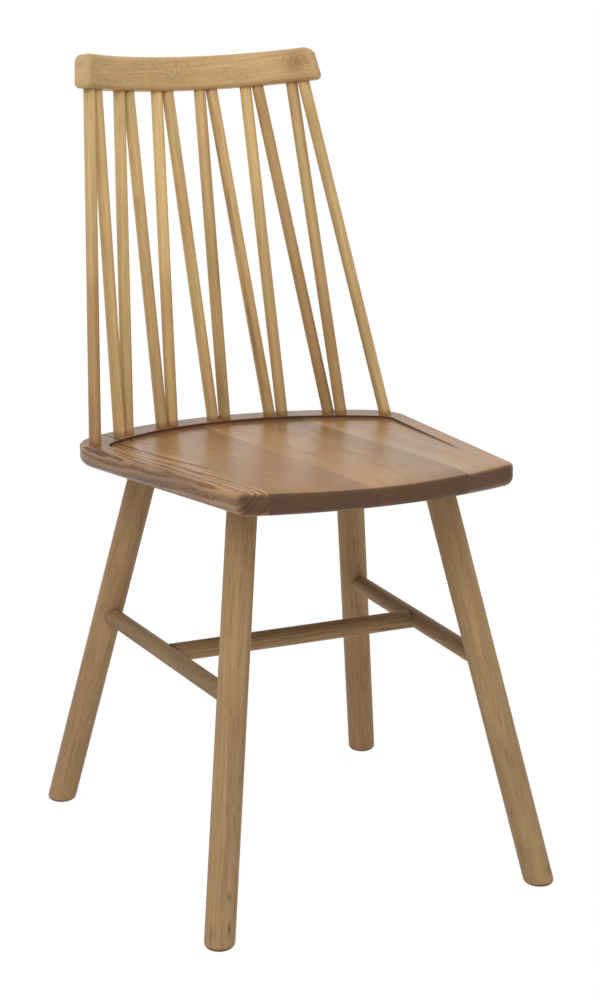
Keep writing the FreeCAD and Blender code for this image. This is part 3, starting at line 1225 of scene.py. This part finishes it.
    def dish(self, shape: BMesh) -> None:
        """Cuts the dish into the flat top, with a cove under its rim.

        Args:
            shape: The board with its flat top.
        """
        top = max(shape.faces, key=lambda f: f.calc_center_median().z)
        outer = list(top.edges)
        shape.faces.remove(top)
        lip = self.lay_floor(shape)
        floor = lip[0].link_faces[0]
        land = bmesh.ops.bridge_loops(shape, edges=outer + lip)["faces"]
        roll_y = self.front_y + self.roll_length
        ahead = [face for face in land if min(vert.co.y for vert in face.verts) < roll_y]
        slice_across(shape, BACK, spread(self.front_y, roll_y, self.roll_rows) + [roll_y], ahead)
        # The cove is darkened for the oil and dirt in it and for painted shade.
        stain_and_shade = shape.verts.layers.float.new(Mark.STAIN_AND_SHADE.value)
        rim = shape.verts.layers.float_vector.new(Mark.RIM.value)
        for vert in shape.verts:
            if vert.co.z > self.thickness - MERGE:
                vert[rim] = self.way_out(vert.co)
        done = 0.0
        for depth in self.cove_loops:
            bmesh.ops.inset_region(
                shape, faces=[floor], thickness=depth - done, use_even_offset=True, use_boundary=True
            )
            done = depth
            for vert in floor.verts:
                vert.co.z = self.thickness + self.dish_height(vert.co.y, depth)
                vert[stain_and_shade] = self.cove_stain_and_shade(vert.co.y, depth)
                vert[rim] = self.way_out(vert.co)

    def lay_floor(self, shape: BMesh) -> list[BMEdge]:
        """Lays the dish's floor, level with the top, into a board whose top is open.

        Args:
            shape: The board.

        Returns:
            The edges round the floor.
        """
        floor = self.dish_outline()
        bmesh.ops.translate(floor, verts=floor.verts, vec=UP * self.thickness)
        scratch = bpy.data.meshes.new("dish")
        floor.to_mesh(scratch)
        floor.free()
        known = set(shape.edges)
        shape.from_mesh(scratch)
        bpy.data.meshes.remove(scratch)
        return [edge for edge in shape.edges if edge not in known]

    def dish_height(self, y: float, inside: float) -> float:
        """How far the dish's surface lies above the flat top, below nought, some way inside its rim.

        Args:
            y: How far back a point lies.
            inside: How far inside the rim it lies.

        Returns:
            Its height, at most nought.
        """
        apex_y = self.spindle_centre_y() + self.dish_radius()
        floor = -self.dish_depth * (y - self.dish_front_y) / (apex_y - self.dish_front_y)
        if y < self.dish_front_y + inside + MERGE:
            return min(0.0, floor)
        lift = self.fall(self.dish_cove, max(0.0, self.dish_cove - inside))
        return min(0.0, floor + lift)

    def cove_stain_and_shade(self, y: float, inside: float) -> float:
        """How dark the cove under the rim is painted: the oil and dirt in it, and its shade."""
        depth = max(0.0, y - self.dish_front_y) / (self.back_y - self.dish_front_y)
        return self.stain_and_shade * min(1.0, self.stain_and_shade_rise * depth) * max(0.0, 1.0 - inside / self.dish_cove)

    def roll(self, shape: BMesh) -> None:
        """Bends the top down towards the front edge.

        Args:
            shape: The board.
        """
        middle = self.thickness / 2
        for vert in shape.verts:
            ahead = self.front_y + self.roll_length - vert.co.y
            if ahead > 0 and vert.co.z > middle:
                share = min(1.0, (vert.co.z - middle) / (self.thickness - self.top_rounding - middle))
                vert.co.z -= share * self.fall(self.roll_radius, ahead)

    def pieces(self) -> Iterator[Piece]:
        """Cuts the board into its staves.

        Yields:
            Each stave, left to right.
        """
        board = self.board()
        ends = (None,) + self.joints_x + (None,)
        for (name, timber), left, right in zip(self.staves.items(), ends, ends[1:]):
            shape = board.copy()
            for x, outwards in ((left, -RIGHT), (right, RIGHT)):
                if x is not None:
                    trim(shape, RIGHT * x, outwards)
            width = self.outer_stave_width
            middle = (left or right - width) / 2 + (right or left + width) / 2
            to_log = Matrix(((1, 0, 0, -middle), (0, 0, 1, -self.thickness), (0, -1, 0, 0), (0, 0, 0, 1)))
            timber.mark(shape, to_log)
            bmesh.ops.transform(shape, matrix=self.to_frame(), verts=shape.verts)
            yield Piece(f"seat_stave_{name}", Slot.SEAT, shape)
        board.free()


@dataclass
class ChairBack:
    """Twelve spindles in a zigzag from the seat's rim to the bent crest rail.

    Attributes:
        seat: The seat that they stand on.
        spindle_diameter: Diameter of a spindle.
        pair_count: How many pairs stand on the seat, between two single spindles.
        seat_pair_pitch: Distance between the two of a pair on the seat.
        seat_pair_step: Angle from pair to pair round the seat's arc.
        spindle_side_margin: How far inside the seat's side the single spindles stand.
        rail_pair_pitch: Distance between the two of a pair under the rail.
        rail_pair_step: Angle from pair to pair round the rail's bow.
        rail_setback: How far the rail stands behind the spindles' arc.
        rail_underside_z: Height of the rail's underside at its middle.
        rail_lean: How far the rail leans back.
        rail_radius: Radius of its bow.
        rail_height: Height of the rail.
        rail_thickness: Thickness of the rail.
        rail_end_margin: How far it goes on past the last spindle.
        rail_bore_offset: How far behind its middle the spindles end.
        rail_end_lean: How far its ends lean in towards the top.
        rail_top_corner: Radius of its top corners.
        rail_bottom_corner: Radius of its bottom corners.
        rail_edge_rounding: Radius of the edges round its faces.
        rail_housing: How deep the spindles are let into it.
        rail_corner_angle: The least angle between faces that meet in a bottom corner.
        rail_top_segments: How many faces go over a top corner.
        rail_bottom_segments: How many faces go over a bottom corner.
        rail_edge_segments: How many faces go over an edge.
        rail_columns: How many columns of faces go along it, so that it can bend.
        rail_rows: How many rows of faces go up its front.
        rail_timber: Its timber.
        foot_shade_reach: How far up a spindle is painted darker and redder, for the seat's shade and the
            warm light that the seat throws back.
        foot_shade_tone: Its brightness at the seat against its own, a painted shade.
        foot_bounce_warmth: How much warmer its colour is there, a painted reflection of the brown seat.
        spindle_timbers: The timber of each spindle, left to right.
    """

    seat: Seat
    spindle_diameter: float = 0.0135
    pair_count: int = 5
    seat_pair_pitch: float = 0.0148
    seat_pair_step: float = math.radians(15.5)
    spindle_side_margin: float = 0.0196
    rail_pair_pitch: float = 0.0142
    rail_pair_step: float = math.radians(15.08)
    rail_setback: float = 0.0956
    rail_underside_z: float = 0.8103
    rail_lean: float = math.radians(11.8)
    rail_radius: float = 0.2045
    rail_height: float = 0.038
    rail_thickness: float = 0.0204
    rail_end_margin: float = 0.0176
    rail_bore_offset: float = 0.0015
    rail_end_lean: float = math.radians(11.7)
    rail_top_corner: float = 0.011
    rail_bottom_corner: float = 0.006
    rail_edge_rounding: float = 0.005
    rail_housing: float = 0.0015
    rail_corner_angle: float = 1.0
    rail_top_segments: int = 9
    rail_bottom_segments: int = 7
    rail_edge_segments: int = 6
    rail_columns: int = 120
    rail_rows: int = 6
    rail_timber: Timber = Timber(
        (0.03, -0.16), 0.7, (0.0, 0.05), bold=0.2,
        patches=(Patch((0.137, -0.0102, 0.024), 0.011, 0.016, 0.84, 0.35),),
    )
    foot_shade_reach: float = 0.19
    foot_shade_tone: float = 0.86
    foot_bounce_warmth: float = 0.3
    spindle_timbers: tuple[Timber, ...] = (
        Timber(
            (0.022, 0.020), 0.8, (0.012, -0.008), 0.92, 0.15,
            patches=(
                Patch((-0.1689, 0.1211, 0.5504), 0.020, 0.060, 0.92, 0.3),
                Patch((-0.1808, 0.0971, 0.4720), 0.005, 0.040, 0.72, 0.1),
            ),
        ),
        Timber((-0.024, 0.018), 1.7, (0.010, 0.010), 1.06, 0.0, 0.15),
        Timber((0.028, -0.012), 2.5, (-0.012, 0.006), 1.04, 0.0, 0.15),
        Timber((-0.018, -0.026), 3.3, (0.008, -0.012), 0.90, 0.1, 0.1),
        Timber((0.034, 0.010), 4.2, (0.012, 0.004), 1.11, olive=0.15, bold=0.15),
        Timber(
            (0.016, -0.024), 5.0, (-0.010, -0.008), 1.05, 0.0, 0.2, 0.45,
            patches=(Patch((-0.0201, 0.2464, 0.7792), 0.020, 0.070, 0.85),),
        ),
        Timber(
            (-0.026, 0.012), 5.8, (0.012, -0.010), 0.99, 0.05, 0.1, 0.4,
            patches=(Patch((0.0043, 0.1675, 0.4700), 0.004, 0.045, 0.65, 0.1),),
        ),
        Timber(
            (0.020, 0.024), 6.6, (0.006, 0.012), 0.98, 0.05, bold=0.4,
            patches=(
                Patch((0.0331, 0.2376, 0.7320), 0.003, 0.030, 0.72, 0.3),
                Patch((0.0390, 0.2175, 0.6738), 0.003, 0.030, 0.76, 0.3),
                Patch((0.0502, 0.1761, 0.5236), 0.003, 0.070, 0.68, 0.2),
            ),
        ),
        Timber((-0.032, -0.010), 7.5, (-0.008, 0.010), 1.00, olive=0.15, bold=0.15),
        Timber(
            (0.024, -0.018), 8.3, (0.012, 0.008), 0.86, 0.35, bold=0.3,
            patches=(
                Patch((0.0847, 0.2305, 0.7880), 0.020, 0.050, 0.88),
                Patch((0.1200, 0.1336, 0.4662), 0.020, 0.060, 0.9),
            ),
        ),
        Timber(
            (-0.020, 0.022), 9.1, (0.010, -0.006), 0.90, 0.1, 0.1,
            patches=(Patch((0.1326, 0.1441, 0.5401), 0.020, 0.050, 0.95, 0.2),),
        ),
        Timber(
            (0.030, 0.014), 9.9, (-0.012, 0.010), 0.97, 0.0, 0.1,
            patches=(Patch((0.1727, 0.0936, 0.4655), 0.020, 0.060, 1.08, -0.25),),
        ),
    )

    def to_frame(self) -> Matrix:
        """Places on the rail's underside turned into the frame.

        Returns:
            The matrix that turns them.
        """
        seat = self.seat
        y = seat.back_y - seat.spindle_back_margin + self.rail_setback + seat.origin_y
        lean = Matrix.Rotation(-self.rail_lean, 4, "X")
        return Matrix.Translation((0, y, self.rail_underside_z)) @ lean

    def pair_angles(self, count: int, step: float, pitch: float, radius: float) -> list[float]:
        """Angles round an arc of the spindles of evenly spaced pairs, from left to right."""
        middles = [step * (i - (count - 1) / 2) for i in range(count)]
        return [middle + side * pitch / radius / 2 for middle in middles for side in (-1, 1)]

    def rail_angles(self) -> list[float]:
        """Angles round the rail at which spindles end."""
        radius = self.rail_radius + self.rail_bore_offset
        return self.pair_angles(self.pair_count + 1, self.rail_pair_step, self.rail_pair_pitch, radius)

    def feet(self) -> list[Vector]:
        """Points on the seat's rim where spindles stand: one, the pairs, one.

        Returns:
            The points, left to right.
        """
        seat = self.seat
        centre_y = seat.spindle_centre_y()
        last = seat.side_meets(seat.spindle_arc, centre_y, self.spindle_side_margin)
        radius = seat.spindle_arc
        points = [Vector((-last.x, last.y, 0))]
        for turn in self.pair_angles(self.pair_count, self.seat_pair_step, self.seat_pair_pitch, radius):
            points.append(Vector((math.sin(turn), math.cos(turn), 0)) * radius + BACK * centre_y)
        points.append(last)
        return [seat.to_frame() @ (point + UP * seat.thickness) for point in points]

    def heads(self) -> list[Vector]:
        """Points under the rail where spindles end: all in pairs.

        Returns:
            The points, left to right.
        """
        radius = self.rail_radius + self.rail_bore_offset
        points = [Vector((math.sin(t), math.cos(t), 0)) * radius for t in self.rail_angles()]
        return [self.to_frame() @ (point - BACK * self.rail_radius) for point in points]

    def pieces(self) -> Iterator[Piece]:
        """Makes the spindles, left to right, and then the rail.

        Yields:
            Each piece.
        """
        ends = zip(self.feet(), self.heads(), self.spindle_timbers)
        for number, (foot, head, timber) in enumerate(ends, 1):
            yield self.spindle(number, foot, head, timber)
        yield self.rail()

    def spindle(self, number: int, foot: Vector, head: Vector, timber: Timber) -> Piece:
        """Turns one spindle and trims it to the seat's top and to its housing in the rail.

        Args:
            number: Its place from the left, from 1.
            foot: Where its axis meets the seat.
            head: Where its axis meets the rail.
            timber: Its timber, to which painted shade and painted warm light from the seat are added
                towards the seat.

        Returns:
            The spindle.
        """
        spare = (head - foot).normalized() * self.spindle_diameter
        rod = Rod(foot - spare, head + spare, self.spindle_diameter)
        shape = rod.blank()
        trim(shape, foot, self.seat.to_frame().to_3x3() @ -UP)
        trim(shape, self.to_frame() @ (UP * self.rail_housing), self.to_frame().to_3x3() @ UP)
        # Painted shade near the seat, warmed as if by light thrown back from the brown seat.
        low = Patch(tuple(foot), self.foot_shade_reach, self.foot_shade_reach, self.foot_shade_tone, self.foot_bounce_warmth)
        shape = rod.finished(shape, replace(timber, patches=timber.patches + (low,)))
        return Piece(f"spindle_{number:02d}", Slot.SPINDLES, shape)

    def straight_rail(self, half: float) -> BMesh:
        """Planes the rail straight, cuts its ends to their lean and rounds it all over.

        Args:
            half: Half its length, at half its height.

        Returns:
            The straight rail, along X and above its underside.
        """
        shape = bmesh.new()
        bmesh.ops.create_cube(shape, size=1.0)
        bmesh.ops.translate(shape, verts=shape.verts, vec=UP / 2)
        length = 2 * half + 2 * self.rail_height
        bmesh.ops.scale(shape, verts=shape.verts, vec=(length, self.rail_thickness, self.rail_height))
        middle = UP * (self.rail_height / 2)
        lean = self.rail_end_lean
        for side in (-1, 1):
            outwards = Vector((side * math.cos(lean), 0, math.sin(lean)))
            trim(shape, middle + RIGHT * side * half, outwards)
        tops = [e for e in edges_along(shape, BACK) if e.verts[0].co.z > middle.z]
        reach = self.rail_top_corner * math.tan(math.pi / 4 - lean / 2)
        round_edges(shape, tops, reach, self.rail_top_segments)
        lows = [e for e in edges_along(shape, BACK) if e.verts[0].co.z < MERGE]
        bottoms = [e for e in lows if e.calc_face_angle(0.0) > self.rail_corner_angle]
        reach = self.rail_bottom_corner * math.tan(math.pi / 4 + lean / 2)
        round_edges(shape, bottoms, reach, self.rail_bottom_segments)
        outline = [e for e in shape.edges if any(abs(f.normal.y) > ALIGNED for f in e.link_faces)]
        round_edges(shape, outline, self.rail_edge_rounding, self.rail_edge_segments)
        return shape

    def rail(self) -> Piece:
        """Makes the straight rail, marks it with its timber and bends it.

        Returns:
            The rail.
        """
        half = self.rail_angles()[-1] * self.rail_radius + self.rail_end_margin
        shape = self.straight_rail(half)
        flat = (self.rail_edge_rounding, self.rail_height - self.rail_edge_rounding)
        slice_across(shape, RIGHT, spread(-half, half, self.rail_columns), shape.faces[:])
        slice_across(shape, UP, spread(*flat, self.rail_rows), shape.faces[:])
        to_log = Matrix(((0, 1, 0, 0), (0, 0, 1, -self.rail_height / 2), (1, 0, 0, 0), (0, 0, 0, 1)))
        mark_ends(shape, RIGHT)
        self.rail_timber.mark(shape, to_log)
        for vert in shape.verts:
            turn = vert.co.x / self.rail_radius
            radius = self.rail_radius + vert.co.y
            vert.co.x = radius * math.sin(turn)
            vert.co.y = radius * math.cos(turn) - self.rail_radius
        bmesh.ops.transform(shape, matrix=self.to_frame(), verts=shape.verts)
        return Piece("crest_rail", Slot.CREST, shape)


@dataclass
class Base:
    """Four raking legs, two side stretchers and one across between their middles.

    Attributes:
        seat: The seat that stands on them.
        feet: The middle of each foot, by the leg's name.
        leg_diameter: Diameter of a leg.
        splay: How far the legs lean out to the sides.
        rake: How far they lean out to the front and the back.
        foot_rounding: Radius of the edge round a foot.
        foot_segments: How many faces go over that edge.
        stretcher_height: Height of the stretchers' axes above the floor.
        side_stretcher_diameter: Diameter of a side stretcher.
        side_stretcher_entry: How deep it is let into the legs.
        cross_stretcher_diameter: Diameter of the cross stretcher.
        cross_seat_depth: How deep it is let into the side stretchers.
        leg_ring: About how far apart a leg's rings of edges lie.
        leg_sides: How many faces go round a leg.
        leg_timbers: The timber of each leg.
        stretcher_timbers: The timber of each stretcher; the right and cross stretchers carry a dark band
            along their tops that is partly a dark streak and partly painted shade under the seat.
    """

    seat: Seat
    feet: dict[str, Vector]
    leg_diameter: float = 0.0318
    splay: float = math.radians(9.9)
    rake: float = math.radians(13.9)
    foot_rounding: float = 0.005
    foot_segments: int = 7
    stretcher_height: float = 0.239
    side_stretcher_diameter: float = 0.0195
    side_stretcher_entry: float = 0.015
    cross_stretcher_diameter: float = 0.0204
    cross_seat_depth: float = 0.005
    leg_ring: float = 0.004
    leg_sides: int = 64
    leg_timbers: dict[str, Timber] = field(
        default_factory=lambda: {
            "front_left": Timber(
                (0.045, -0.050), 5.2, (0.01, 0.0), 1.0,
                patches=(
                    Patch((-0.1768, -0.2657, 0.0533), 0.0022, 0.0040, 0.50),
                    Patch((-0.1803, -0.2731, 0.0223), 0.0020, 0.0070, 0.30),
                    Patch((-0.1975, -0.2675, 0.0179), 0.0045, 0.0060, 0.75),
                ),
            ),
            "front_right": Timber(
                (-0.060, -0.040), 6.7, (-0.02, 0.01), 1.0, olive=0.15,
                patches=(Patch((0.1919, -0.2727, 0.0181), 0.0040, 0.0050, 0.72),),
            ),
            "rear_left": Timber((0.050, -0.070), 8.1, (0.01, -0.01), 1.0, 0.15),
            "rear_right": Timber((-0.050, 0.045), 9.6, (0.0, 0.02), 1.04, 0.25),
        }
    )
    stretcher_timbers: dict[str, Timber] = field(
        default_factory=lambda: {
            "left": Timber((0.040, 0.020), 11.0, (0.02, 0.0), 0.67, 0.15),
            "right": Timber(
                (0.035, -0.030), 12.3, (0.0, 0.02), 0.86, 0.25,
                patches=(
                    Patch((0.1428, 0.0257, 0.2391), 0.0030, 0.0045, 0.55),
                    # A dark band along the top: partly a dark streak, partly painted shade under the seat.
                    Patch((0.1450, -0.0389, 0.2470), 0.0070, 0.4000, 0.68),
                ),
            ),
            "cross": Timber(
                (0.010, 0.028), 13.7, (0.0, 0.01), 0.90, 0.15, bold=0.6,
                # A dark band along the top: partly a dark streak, partly painted shade under the seat.
                patches=(Patch((0.0, -0.0440, 0.2480), 0.0075, 0.4000, 0.62),),
            ),
        }
    )

    def lean(self, name: str) -> Vector:
        """The upward direction of a leg's axis.

        Args:
            name: Which leg.

        Returns:
            The direction, of length 1.
        """
        foot = self.feet[name]
        inwards = 1 if "front" in name else -1
        side = math.copysign(1.0, foot.x)
        return Vector((-side * math.tan(self.splay), inwards * math.tan(self.rake), 1)).normalized()

    def on_leg(self, name: str, height: float) -> Vector:
        """The point of a leg's axis at a height above the floor."""
        lean = self.lean(name)
        return self.feet[name] + lean * (height / lean.z)

    def side_ends(self, side: str) -> tuple[Vector, Vector]:
        """Where a side stretcher's axis meets the axes of its front and rear legs."""
        front, rear = (self.on_leg(f"{end}_{side}", self.stretcher_height) for end in ("front", "rear"))
        return front, rear

    def pieces(self) -> Iterator[Piece]:
        """Makes the legs and then the stretchers.

        Yields:
            Each piece.
        """
        for name in self.feet:
            yield self.leg(name)
        for side in ("left", "right"):
            yield self.side_stretcher(side)
        yield self.cross_stretcher()

    def leg(self, name: str) -> Piece:
        """Turns one leg, cuts it level at the floor and to the seat's underside, and rounds its foot.

        Args:
            name: Which leg.

        Returns:
            The leg.
        """
        lean = self.lean(name)
        under = self.seat.to_frame()
        normal = under.to_3x3() @ UP
        foot = self.feet[name]
        shoulder = foot + lean * ((under.translation - foot).dot(normal) / lean.dot(normal))
        spare = lean * self.leg_diameter
        rod = Rod(foot - spare, shoulder + spare, self.leg_diameter, self.leg_sides, self.leg_ring)
        shape = rod.blank()
        trim(shape, shoulder, normal)
        sole = trim(shape, foot, -UP)
        sharpest = math.pi / 2 - lean.angle(UP)
        width = 2 * self.foot_rounding * math.cos(sharpest / 2)
        round_edges(shape, sole, width, self.foot_segments, "WIDTH")
        return Piece(f"leg_{name}", Slot.BASE, rod.finished(shape, self.leg_timbers[name]))

    def side_stretcher(self, side: str) -> Piece:
        """Turns the rod between the two legs of one side.

        Args:
            side: Which side.

        Returns:
            The stretcher.
        """
        front, rear = self.side_ends(side)
        along = (rear - front).normalized()
        ends = []
        for point, leg, inward in ((front, f"front_{side}", along), (rear, f"rear_{side}", -along)):
            skin = self.leg_diameter / 2 / along.cross(self.lean(leg)).length
            ends.append(point + inward * (skin - self.side_stretcher_entry))
        rod = Rod(ends[0], ends[1], self.side_stretcher_diameter)
        shape = rod.finished(rod.blank(), self.stretcher_timbers[side])
        return Piece(f"side_stretcher_{side}", Slot.BASE, shape)

    def cross_stretcher(self) -> Piece:
        """Turns the rod between the middles of the side stretchers.

        Returns:
            The stretcher.
        """
        sunk = self.side_stretcher_diameter / 2 - self.cross_seat_depth
        ends = []
        for side, sign in (("left", -1), ("right", 1)):
            front, rear = self.side_ends(side)
            ends.append((front + rear) / 2 - RIGHT * sign * sunk)
        rod = Rod(ends[0], ends[1], self.cross_stretcher_diameter)
        shape = rod.finished(rod.blank(), self.stretcher_timbers["cross"])
        return Piece("cross_stretcher", Slot.BASE, shape)


@dataclass
class Studio:
    """A white sweep, soft light all round and a camera in front of the chair, to its left.

    Attributes:
        eye: Where the camera stands.
        yaw: How far it turns to the left, from looking straight back.
        pitch: How far it looks up.
        lens: Its focal length, in millimetres.
        sensor: Length of its sensor's longer side, in millimetres.
        floor_size: Length of the floor's sides.
        floor_colour: The floor's own colour.
        floor_glow: Share of the floor's own light where it is looked at.
        floor_light: Strength of that light.
        horizon: Strength of the light from the horizon.
        zenith: Strength of the light from straight above.
        key_place: Where the soft lamp hangs.
        key_aim_z: Height above the floor that it points at.
        key_size: Length of its sides.
        key_power: Its power, in watts.
    """

    eye: Vector = field(default_factory=lambda: Vector((-1.02498, -2.24149, 1.02075)))
    yaw: float = math.radians(-25.119)
    pitch: float = math.radians(-14.489)
    lens: float = 83.30
    sensor: float = 36.0
    floor_size: float = 60.0
    floor_colour: Colour = (0.88, 0.88, 0.88, 1.0)
    floor_glow: float = 0.93
    floor_light: float = 1.03
    horizon: float = 0.2
    zenith: float = 1.2
    key_place: Vector = field(default_factory=lambda: Vector((-1.6, -2.2, 3.2)))
    key_aim_z: float = 0.45
    key_size: float = 2.4
    key_power: float = 45.0

    def build(self) -> None:
        """Sets up the light, the floor and the camera."""
        scene = bpy.context.scene
        scene.view_settings.view_transform = "Standard"
        self.world(scene)
        self.floor(scene)
        self.key(scene)
        self.camera(scene)

    def seen(self, graph: Graph) -> NodeSocket:
        """1 where the camera, a reflection or glass looks straight at a surface, else 0.

        Args:
            graph: The tree to add to.

        Returns:
            That number.
        """
        path = graph.add("ShaderNodeLightPath")
        glossy = graph.maths("MAXIMUM", path.outputs["Is Camera Ray"], path.outputs["Is Glossy Ray"])
        return graph.maths("MAXIMUM", glossy, path.outputs["Is Transmission Ray"])

    def world(self, scene: Scene) -> None:
        """Surrounds the chair with white light that grows from the horizon upwards.

        Args:
            scene: The scene.
        """
        world = bpy.data.worlds.new("white_room")
        world.use_nodes = True
        scene.world = world
        graph = Graph(world.node_tree)
        glow = graph.add("ShaderNodeBackground")
        glow.inputs["Color"].default_value = WHITE
        split = graph.add("ShaderNodeSeparateXYZ")
        graph.feed(split.inputs[0], graph.add("ShaderNodeTexCoord").outputs["Generated"])
        height = graph.maths("MAXIMUM", split.outputs["Z"], 0.0)
        light = graph.add_to(self.horizon, height, self.zenith - self.horizon)
        graph.feed(glow.inputs["Strength"], graph.mix(self.seen(graph), light, WHITE))
        output = graph.add("ShaderNodeOutputWorld")
        graph.feed(output.inputs["Surface"], glow.outputs[0])

    def floor(self, scene: Scene) -> None:
        """Lays a pale floor that still takes the chair's shadow.

        Args:
            scene: The scene.
        """
        material = bpy.data.materials.new("pale_floor")
        material.use_nodes = True
        graph = Graph(material.node_tree)
        matt = graph.add("ShaderNodeBsdfDiffuse")
        matt.inputs["Color"].default_value = self.floor_colour
        glow = graph.add("ShaderNodeEmission")
        glow.inputs["Strength"].default_value = self.floor_light
        share = graph.times(self.seen(graph), self.floor_glow)
        blend = graph.add("ShaderNodeMixShader")
        graph.feed(blend.inputs[0], share)
        graph.feed(blend.inputs[1], matt.outputs[0])
        graph.feed(blend.inputs[2], glow.outputs[0])
        output = graph.add("ShaderNodeOutputMaterial")
        graph.feed(output.inputs["Surface"], blend.outputs[0])
        shape = bmesh.new()
        bmesh.ops.create_grid(shape, x_segments=1, y_segments=1, size=self.floor_size / 2)
        mesh = bpy.data.meshes.new("floor")
        shape.to_mesh(mesh)
        shape.free()
        mesh.materials.append(material)
        floor = bpy.data.objects.new("floor", mesh)
        scene.collection.objects.link(floor)

    def key(self, scene: Scene) -> None:
        """Hangs a large soft lamp in front of the chair.

        Args:
            scene: The scene.
        """
        lamp = bpy.data.lights.new("softbox", "AREA")
        lamp.shape = "SQUARE"
        lamp.size = self.key_size
        lamp.energy = self.key_power
        made = bpy.data.objects.new("softbox", lamp)
        made.location = self.key_place
        made.rotation_euler = (UP * self.key_aim_z - self.key_place).to_track_quat("-Z", "Y").to_euler()
        scene.collection.objects.link(made)

    def camera(self, scene: Scene) -> None:
        """Stands the camera where the chair shows its front and its left side.

        Args:
            scene: The scene.
        """
        data = bpy.data.cameras.new("camera")
        data.lens = self.lens
        data.sensor_width = self.sensor
        camera = bpy.data.objects.new("camera", data)
        camera.location = self.eye
        camera.rotation_euler = (math.pi / 2 + self.pitch, 0.0, self.yaw)
        scene.collection.objects.link(camera)
        scene.camera = camera


FINISHES: dict[Slot, OakFinish] = {
    Slot.SPINDLES: OakFinish(
        "golden_oak_rods",
        body=tint(213, 181, 126),
        late=tint(222, 192, 138),
        early=tint(174, 136, 86),
        warm=tint(182, 134, 86),
        olive=tint(196, 170, 108),
        end=tint(170, 130, 84),
        sap=tint(222, 192, 138),
        blush=0.35,
        streak=0.3,
        lines=0.4,
        pores=0.25,
    ),
    Slot.CREST: OakFinish(
        "golden_oak_crest",
        body=tint(205, 169, 118),
        late=tint(212, 178, 128),
        early=tint(174, 136, 88),
        warm=tint(164, 114, 76),
        olive=tint(194, 162, 106),
        end=tint(196, 164, 120),
        sap=tint(218, 188, 138),
        flecks=0.3,
        cloud=0.12,
        streak=0.2,
        lines=0.3,
        pores=0.2,
    ),
    Slot.SEAT: OakFinish(
        "brown_oak_seat",
        body=tint(153, 110, 63),
        late=tint(226, 170, 110),
        early=tint(108, 62, 30),
        warm=tint(143, 98, 58),
        olive=tint(155, 123, 67),
        end=tint(88, 60, 38),
        sap=tint(168, 131, 90),
        ring_pitch=0.0058,
        ring_wander=0.008,
        ring_wave=13.0,
        blush=0.45,
        streak=0.1,
        fibre=0.1,
        lines=0.35,
        pores=0.55,
        pore_depth=0.7,
        pore_count=480.0,
        cove_darkening=0.3,
        gloss=0.33,
        shine=0.35,
        relief=0.08,
    ),
    Slot.BASE: OakFinish(
        "brown_oak_base",
        body=tint(166, 135, 98),
        late=tint(174, 144, 104),
        early=tint(126, 96, 66),
        warm=tint(154, 116, 84),
        olive=tint(156, 130, 86),
        end=tint(112, 84, 58),
        sap=tint(172, 142, 100),
        streak=0.2,
        lines=0.65,
        pores=0.4,
        gloss=0.5,
        shine=0.12,
    ),
}


def feet_of_frame() -> dict[str, Vector]:
    """The middles of the four feet, from the frame's mounts."""
    mounts = frame["record"]["mounts"]
    return {m["name"].removeprefix("foot_"): Vector(m["pos_m"]) for m in mounts}


def main() -> None:
    """Builds the chair, sub-assembly by sub-assembly, and the studio round it."""
    logging.basicConfig(level=logging.INFO, format="%(message)s")
    feet = feet_of_frame()
    seat = Seat.above(feet)
    materials = {slot: finish.material() for slot, finish in FINISHES.items()}
    for assembly in (seat, ChairBack(seat), Base(seat, feet)):
        for piece in assembly.pieces():
            piece.place(materials[piece.slot])
    Studio().build()


if __name__ == "__main__":
    main()
